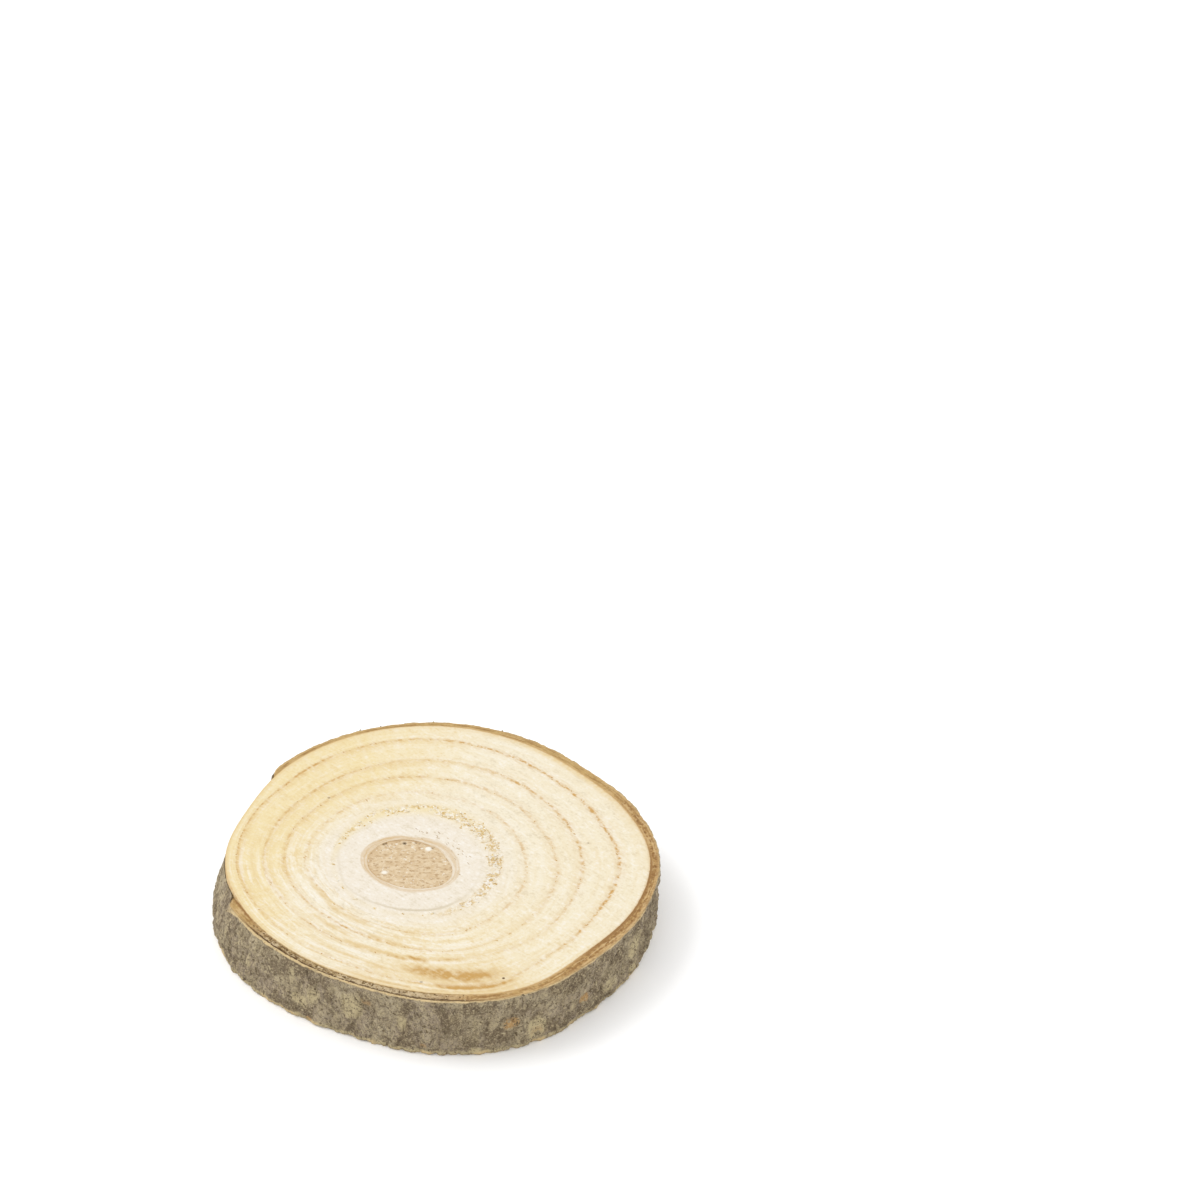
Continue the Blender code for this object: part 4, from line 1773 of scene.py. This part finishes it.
@dataclass
class OuterBarkRing:
    """The grey outer bark, with its furrows, its ragged edges and the tear at the back."""

    points_around: int = 1200
    side_rows: int = 52

    # The shell, and how its top and its foot look
    shell: float = 0.2
    split_shell: float = 0.12
    shell_wobble: Swell = Swell(0.07, 1.9, shift=8.0)
    wall: float = 0.8
    wall_foot: float = 0.1
    slope_drop: float = 1.0
    pale_foot: float = 0.85
    inset_reach: float = 3.0
    top_reach: float = 1.2
    top_calm: float = 0.6
    # How far the side must sink before the furrows get painted shade, and how fast it deepens
    hollow_start: float = 0.08
    hollow_span: float = 0.3
    pale_foot_height: float = 1.3
    pale_foot_span: float = 0.8

    # Relief of the side
    broad: Swell = Swell(0.16, 7.0, 2.6)
    furrow: Swell = Swell(3.0, 2.4, 2.6)
    furrow_depth: float = 0.34
    mean_furrow: float = 0.44
    crack: Swell = Swell(4.0, 1.0, 1.8, 3.0)
    crack_depth: float = 0.14
    mean_crack: float = 0.3
    crumbs: Swell = Swell(0.13, 0.45, 1.5, 6.0)

    # The sawn rim and the foot
    rim_drop: float = 0.03
    rim_ragged: tuple[Swell, Swell] = (Swell(0.13, 1.1), Swell(0.08, 0.4))
    rim_swell: Swell = Swell(0.12, 0.4)
    slope_ragged: Swell = Swell(0.5, 0.9)
    crest_fade: Swell = Swell(0.3, 2.2, shift=3.0)
    foot_height: float = 0.35
    foot_rounding: float = 0.18
    foot_ragged: Swell = Swell(0.12, 0.5, shift=2.0)
    foot_fray: Swell = Swell(1.0, 2.6, shift=4.0)
    fray_height: float = 0.9
    fray_span: float = 0.5
    scurf_height: float = 0.45
    scurf_span: float = 0.3
    crest_rounding: float = 0.04
    crest_height: float = 0.14
    crest_tear: float = 2.5
    ledge_inset: float = 0.4
    underside: float = 0.02
    front_angles: tuple[float, ...] = (186.0, 198.0, 322.0, 350.0)

    # Pale, dark and rusty patches, placed by how high they are
    lichens: tuple[Patch, ...] = (
        Patch(-113.0, 6.0, 3.6, 2.6), Patch(-125.0, 5.2, 2.1, 2.2, 0.85),
        Patch(-132.0, 7.7, 1.3, 1.6, 0.7), Patch(-99.0, 5.3, 1.5, 2.2, 0.75),
        Patch(-64.0, 2.9, 3.2, 2.3, 1.0), Patch(-39.0, 3.0, 3.0, 1.8, 0.8),
        Patch(-27.0, 5.6, 4.0, 2.6, 0.85), Patch(-28.0, 1.7, 2.6, 1.3, 0.8),
        Patch(-129.0, 3.6, 3.4, 1.6, 0.8), Patch(-80.0, 0.8, 2.2, 0.8, 0.8),
        Patch(-148.0, 4.5, 1.3, 2.2, 0.6), Patch(-160.0, 4.8, 1.2, 2.4, 0.65),
        Patch(-86.0, 7.0, 1.4, 1.6, 0.5), Patch(12.0, 5.0, 3.0, 2.4, 0.8),
        Patch(44.0, 6.4, 2.4, 2.0, 0.7), Patch(71.0, 3.2, 3.6, 1.8, 0.8),
        Patch(98.0, 7.1, 2.2, 1.8, 0.6), Patch(124.0, 3.9, 2.8, 2.4, 0.8),
        Patch(166.0, 2.4, 3.0, 1.4, 0.7),
    )
    glooms: tuple[Patch, ...] = (
        Patch(-137.0, 7.4, 4.0, 1.8, 0.9), Patch(-134.0, 1.4, 4.0, 1.1, 0.9),
        Patch(-72.0, 2.7, 3.0, 1.2, 0.8), Patch(-86.0, 4.6, 6.0, 3.4, 0.6),
        Patch(-55.0, 1.9, 2.4, 1.2, 0.8), Patch(-46.0, 7.2, 4.0, 1.8, 0.6),
        Patch(-38.0, 0.9, 3.0, 0.8, 0.7), Patch(-102.0, 4.6, 1.6, 3.2, 0.5),
        Patch(-76.0, 7.0, 1.6, 2.2, 0.5), Patch(-151.0, 8.0, 3.0, 1.5, 0.6),
        Patch(-120.0, 8.6, 2.4, 0.9, 0.6), Patch(-57.0, 6.0, 1.6, 2.0, 0.6),
        Patch(28.0, 3.2, 3.6, 2.0, 0.8), Patch(58.0, 7.4, 3.0, 1.5, 0.7),
        Patch(86.0, 5.2, 3.0, 2.6, 0.8), Patch(111.0, 1.8, 3.6, 1.3, 0.8),
        Patch(136.0, 7.2, 3.0, 1.8, 0.7), Patch(180.0, 2.6, 3.6, 1.6, 0.7),
    )
    rusts: tuple[Patch, ...] = (
        Patch(-64.0, 2.4, 2.8, 1.7, 0.5), Patch(-49.0, 3.8, 1.9, 1.0, 1.0),
        Patch(-71.0, 5.1, 2.4, 1.1, 0.95), Patch(-109.0, 7.4, 2.0, 1.0, 0.6),
        Patch(-126.0, 0.7, 1.6, 0.5, 0.8), Patch(-93.0, 1.6, 1.2, 0.6, 0.6),
        Patch(35.0, 5.8, 1.8, 0.8, 0.8), Patch(80.0, 2.2, 2.2, 1.1, 0.8),
        Patch(132.0, 5.0, 1.8, 0.9, 0.9),
    )

    def relief(self, degrees: np.ndarray, height: np.ndarray) -> np.ndarray:
        """How far the bark stands out at points of its side.

        Args:
            degrees: Their angles.
            height: How high they are.

        Returns:
            The relief at each angle.
        """
        spots = toward(degrees) * PLAN.edge_of_bark(degrees)[:, None]
        spots[:, 2] = height
        furrow = 1.0 - np.minimum(1.0, np.abs(self.furrow.at(spots)))
        crack = 1.0 - np.minimum(1.0, np.abs(self.crack.at(spots)))
        fine = self.crumbs.at(spots) - self.crack_depth * (crack - self.mean_crack)
        return self.broad.at(spots) - self.furrow_depth * (furrow - self.mean_furrow) + fine

    def inner(self, degrees: np.ndarray) -> np.ndarray:
        """Radius of the shell's inner side, which takes in the whole bark below the tear.

        Args:
            degrees: Where to read it.

        Returns:
            The radius at each angle.
        """
        torn = stretch_of(degrees, PLAN.torn_through_angles)
        shell = self.shell + self.split_shell * stretch_of(degrees, PLAN.split_angles)
        return blend(PLAN.edge_of_crest(degrees) - shell, PLAN.edge_of_wood(degrees) + 0.1, torn)

    def add_side(self, loft: Loft, top: np.ndarray, crest: np.ndarray, ledge: np.ndarray,
                 front: np.ndarray) -> np.ndarray:
        """Add the rows of the outer side, from the foot up.

        Args:
            loft: The loft.
            top: Height of the side's upper edge.
            crest: How clearly the sawn crest shows.
            ledge: How much of the edge is torn.
            front: How near the front it is, where splinters stand off the crest.

        Returns:
            Radius of the last row.
        """
        degrees = loft.degrees
        rim = toward(degrees) * PLAN.edge_of_bark(degrees)[:, None]
        wobble = self.shell_wobble.at(rim)
        frayed = smooth((self.foot_fray.at(rim) - 0.05) / 0.3)
        for share in np.linspace(0.0, 1.0, self.side_rows):
            height = self.foot_height + share * (top - self.foot_height)
            near_top = smooth(1.0 - (top - height) / self.top_reach)
            drawn_in = smooth(1.0 - (top - height) / self.inset_reach)
            relief = self.relief(degrees, height) * (1.0 - self.top_calm * near_top)
            radius = blend(PLAN.edge_of_bark(degrees), PLAN.edge_of_crest(degrees), drawn_in)
            radius += relief - near_top * (self.crest_rounding + self.ledge_inset * ledge + wobble)
            crest_share = smooth((height - top + self.crest_height) / self.crest_height)
            edge = crest_share * crest + frayed * smooth((self.fray_height - height) / self.fray_span)
            raised = smooth((height - self.scurf_height) / self.scurf_span)
            cut = np.clip(edge, 0.0, 1.0)
            pale_foot = self.pale_foot * smooth((self.pale_foot_height - height) / self.pale_foot_span)
            # Painted shade where the side sinks into its furrows
            hollow = smooth((-relief - self.hollow_start) / self.hollow_span)
            loft.add(PLAN.stem(radius, degrees, height), hollow=hollow, cut=cut, torn=ledge * near_top * 0.8,
                     splinter=cut * raised * front, scurf=(1.0 - near_top * crest) * raised,
                     lichen=np.maximum(strongest(self.lichens, degrees, height), pale_foot),
                     gloom=strongest(self.glooms, degrees, height),
                     rust=strongest(self.rusts, degrees, height))
        return radius

    def add_rim(self, loft: Loft, points: np.ndarray, **marks: np.ndarray | float) -> None:
        """Add a ring of the top, the inner side or the foot, which has no patches."""
        plain = dict.fromkeys(("hollow", "cut", "torn", "splinter", "scurf", "lichen", "gloom", "rust"), 0.0)
        loft.add(points, **{**plain, **marks})

    def build(self, finish: OuterBark) -> bpy.types.Object:
        """Build the outer bark and dress it.

        Args:
            finish: Its finish.

        Returns:
            The piece.
        """
        loft = Loft("outer_bark", self.points_around)
        degrees = loft.degrees
        ledge = stretch_of(degrees, PLAN.torn_inner_angles)
        slope = stretch_of(degrees, PLAN.torn_outer_angles)
        front = 0.25 + 0.75 * stretch_of(degrees, self.front_angles)
        rim = toward(degrees) * PLAN.edge_of_bark(degrees)[:, None]
        whole_crest = 1.0 - smooth(slope * self.crest_tear)
        crest = (0.5 + 0.5 * front) * (0.9 + self.crest_fade.at(rim)) * whole_crest
        ragged = sum(np.abs(swell.at(rim)) for swell in self.rim_ragged)
        whole = PLAN.thickness - self.rim_drop - ragged
        top = whole - PLAN.torn_height(degrees, PLAN.torn_outer_angles) + slope * self.slope_ragged.at(rim)
        top_in = whole - PLAN.torn_height(degrees, PLAN.torn_inner_angles) - self.slope_drop * (slope - ledge)
        edge = self.add_side(loft, top, crest, ledge, front)
        for share in (0.25, 0.5, 0.75, 1.0):
            points = PLAN.stem(blend(edge, self.inner(degrees), share), degrees, blend(top, top_in, share))
            points[:, 2] += self.rim_swell.at(points) * math.sin(math.pi * share) * (0.3 + slope)
            self.add_rim(loft, points, cut=crest, torn=ledge, splinter=crest * front, scurf=slope - ledge)
        wall = self.inner(degrees) - self.wall * (1.0 - slope)
        for share in (0.93, 0.75, 0.5, 0.0):
            height = self.wall_foot + share * (top_in - self.wall_foot)
            # The inner wall is painted in shade all over
            self.add_rim(loft, PLAN.stem(wall, degrees, height), hollow=1.0, torn=0.3)
        foot = PLAN.edge_of_bark(degrees) + self.relief(degrees, np.zeros_like(degrees)) - self.foot_rounding
        foot += self.foot_ragged.at(rim)
        for share in (0.0, 0.5, 1.0):
            self.add_rim(loft, PLAN.stem(blend(wall, foot, share), degrees, self.underside), cut=0.6)
        return loft.dressed(True, finish.material(), "bark")


FIBRES = Crumb("torn_fibre", on_top("FFFBEE"), on_top("F5E5C2"))
OCHRE = Crumb("ochre_crumb", on_top("ECD196"), on_top("CFA967"))
PORES = Crumb("ring_pore", on_top("E3C28B"), on_top("C69A5F"))
DASHES = Crumb("pith_dash", on_top("C7A980"), on_top("9C7B55"))
DUST = Crumb("bark_dust", on_top("D8C298"), on_top("A98A5B"))
DARK_CRUMBS = Crumb("dark_crumb", on_top("9A7E56"), on_top("66502F"))
SPLINTERS = Crumb("bark_splinter", on_top("E0C798"), on_top("B08A58"))
SCURF = Crumb("bark_scurf", on_side("B5A686"), on_side("6E604A"))

WOOD_SCATTERS = (
    Scatter("ring_pores", "pore", 3.0, (0.16, 0.1, 0.02), (0.5, 0.26, 0.05), PORES, "sawn_wood", 3,
            facing=137.0, spread=40.0, tilt=4.0),
    Scatter("torn_fibres", "torn", 3.4, (0.3, 0.1, 0.05), (1.0, 0.26, 0.13), FIBRES, "sawn_wood", 5,
            facing=130.0, spread=60.0, tilt=20.0),
    Scatter("torn_crumbs", "torn", 2.2, (0.2, 0.14, 0.05), (0.7, 0.36, 0.14), OCHRE, "sawn_wood", 7,
            facing=130.0, spread=90.0, tilt=12.0),
    Scatter("pith_dashes", "dashes", 2.1, (0.25, 0.07, 0.02), (0.75, 0.13, 0.04), DASHES, "sawn_wood", 23,
            facing=128.0, spread=16.0, tilt=2.0),
)
INNER_BARK_SCATTERS = (
    Scatter("split_dust", "crumbs", 2.4, (0.14, 0.1, 0.08), (0.5, 0.26, 0.2), DUST, "inner_bark", 11),
    Scatter("split_crumbs", "crumbs", 2.2, (0.14, 0.1, 0.08), (0.6, 0.3, 0.2), DARK_CRUMBS, "inner_bark", 13),
)
OUTER_BARK_SCATTERS = (
    Scatter("bark_splinters", "splinter", 3.0, (0.14, 0.06, 0.05), (0.5, 0.14, 0.1), SPLINTERS, "bark", 17),
    Scatter("bark_scurf", "scurf", 1.6, (0.2, 0.16, 0.05), (0.75, 0.45, 0.16), SCURF, "bark", 19,
            tilt=12.0, ragged=0.8),
)


@dataclass(frozen=True)
class Studio:
    """Pale floor, soft light and the camera, in metres."""

    floor_size: float = 6.0
    floor_drop: float = 0.00002
    floor_colour: Colour = (0.9, 0.9, 0.9, 1.0)
    floor_roughness: float = 0.9
    focal_mm: float = 168.0
    sensor_mm: float = 36.0
    camera_place: tuple[float, float, float] = (0.02349, -0.6202, 0.51454)
    camera_down: float = 36.5
    sky: float = 1.22
    key_power: float = 9.5
    key_size: float = 0.9
    key_place: tuple[float, float, float] = (-0.95, 0.2, 1.25)

    def build(self) -> None:
        """Set the scene round the slice."""
        self.lay_floor()
        self.light()
        self.aim_camera()

    def lay_floor(self) -> None:
        """Lay a plain pale floor under the slice."""
        bpy.ops.mesh.primitive_plane_add(size=self.floor_size, location=(0.0, 0.0, -self.floor_drop))
        floor = bpy.context.object
        floor.name = "floor"
        material = bpy.data.materials.new("pale_floor")
        material.use_nodes = True
        shader = material.node_tree.nodes["Principled BSDF"]
        shader.inputs["Base Color"].default_value = self.floor_colour
        shader.inputs["Roughness"].default_value = self.floor_roughness
        shader.inputs["Specular IOR Level"].default_value = 0.0
        floor.data.materials.append(material)

    def light(self) -> None:
        """Light the slice evenly from the sky, and a little more from the back left."""
        world = bpy.data.worlds.new("soft_sky")
        world.use_nodes = True
        sky = world.node_tree.nodes["Background"]
        sky.inputs["Color"].default_value = (1.0, 1.0, 1.0, 1.0)
        sky.inputs["Strength"].default_value = self.sky
        bpy.context.scene.world = world
        lamp = bpy.data.lights.new("key", "AREA")
        lamp.size = self.key_size
        lamp.energy = self.key_power
        key = bpy.data.objects.new("key", lamp)
        key.location = self.key_place
        key.rotation_euler = (-Vector(self.key_place)).to_track_quat("-Z", "Y").to_euler()
        bpy.context.scene.collection.objects.link(key)

    def aim_camera(self) -> None:
        """Place the camera in front of the slice, looking down on it."""
        lens = bpy.data.cameras.new("camera")
        lens.lens = self.focal_mm
        lens.sensor_width = self.sensor_mm
        camera = bpy.data.objects.new("camera", lens)
        camera.location = self.camera_place
        camera.rotation_euler = (math.radians(90.0 - self.camera_down), 0.0, 0.0)
        bpy.context.scene.collection.objects.link(camera)
        bpy.context.scene.camera = camera
        bpy.context.scene.view_settings.view_transform = "Standard"


def main() -> None:
    """Build the slice and the studio."""
    logging.basicConfig(level=logging.INFO, format="%(name)s %(message)s")
    wood = Wood().build(SawnWood())
    PithPlug().build(Pith())
    inner_bark = InnerBarkRing().build(InnerBark())
    outer_bark = OuterBarkRing().build(OuterBark())
    tree = ScatterTree()
    for ground, scatters in ((wood, WOOD_SCATTERS), (inner_bark, INNER_BARK_SCATTERS),
                             (outer_bark, OUTER_BARK_SCATTERS)):
        for scatter in scatters:
            scatter.build(tree, ground)
    Studio().build()


if __name__ == "__main__":
    main()
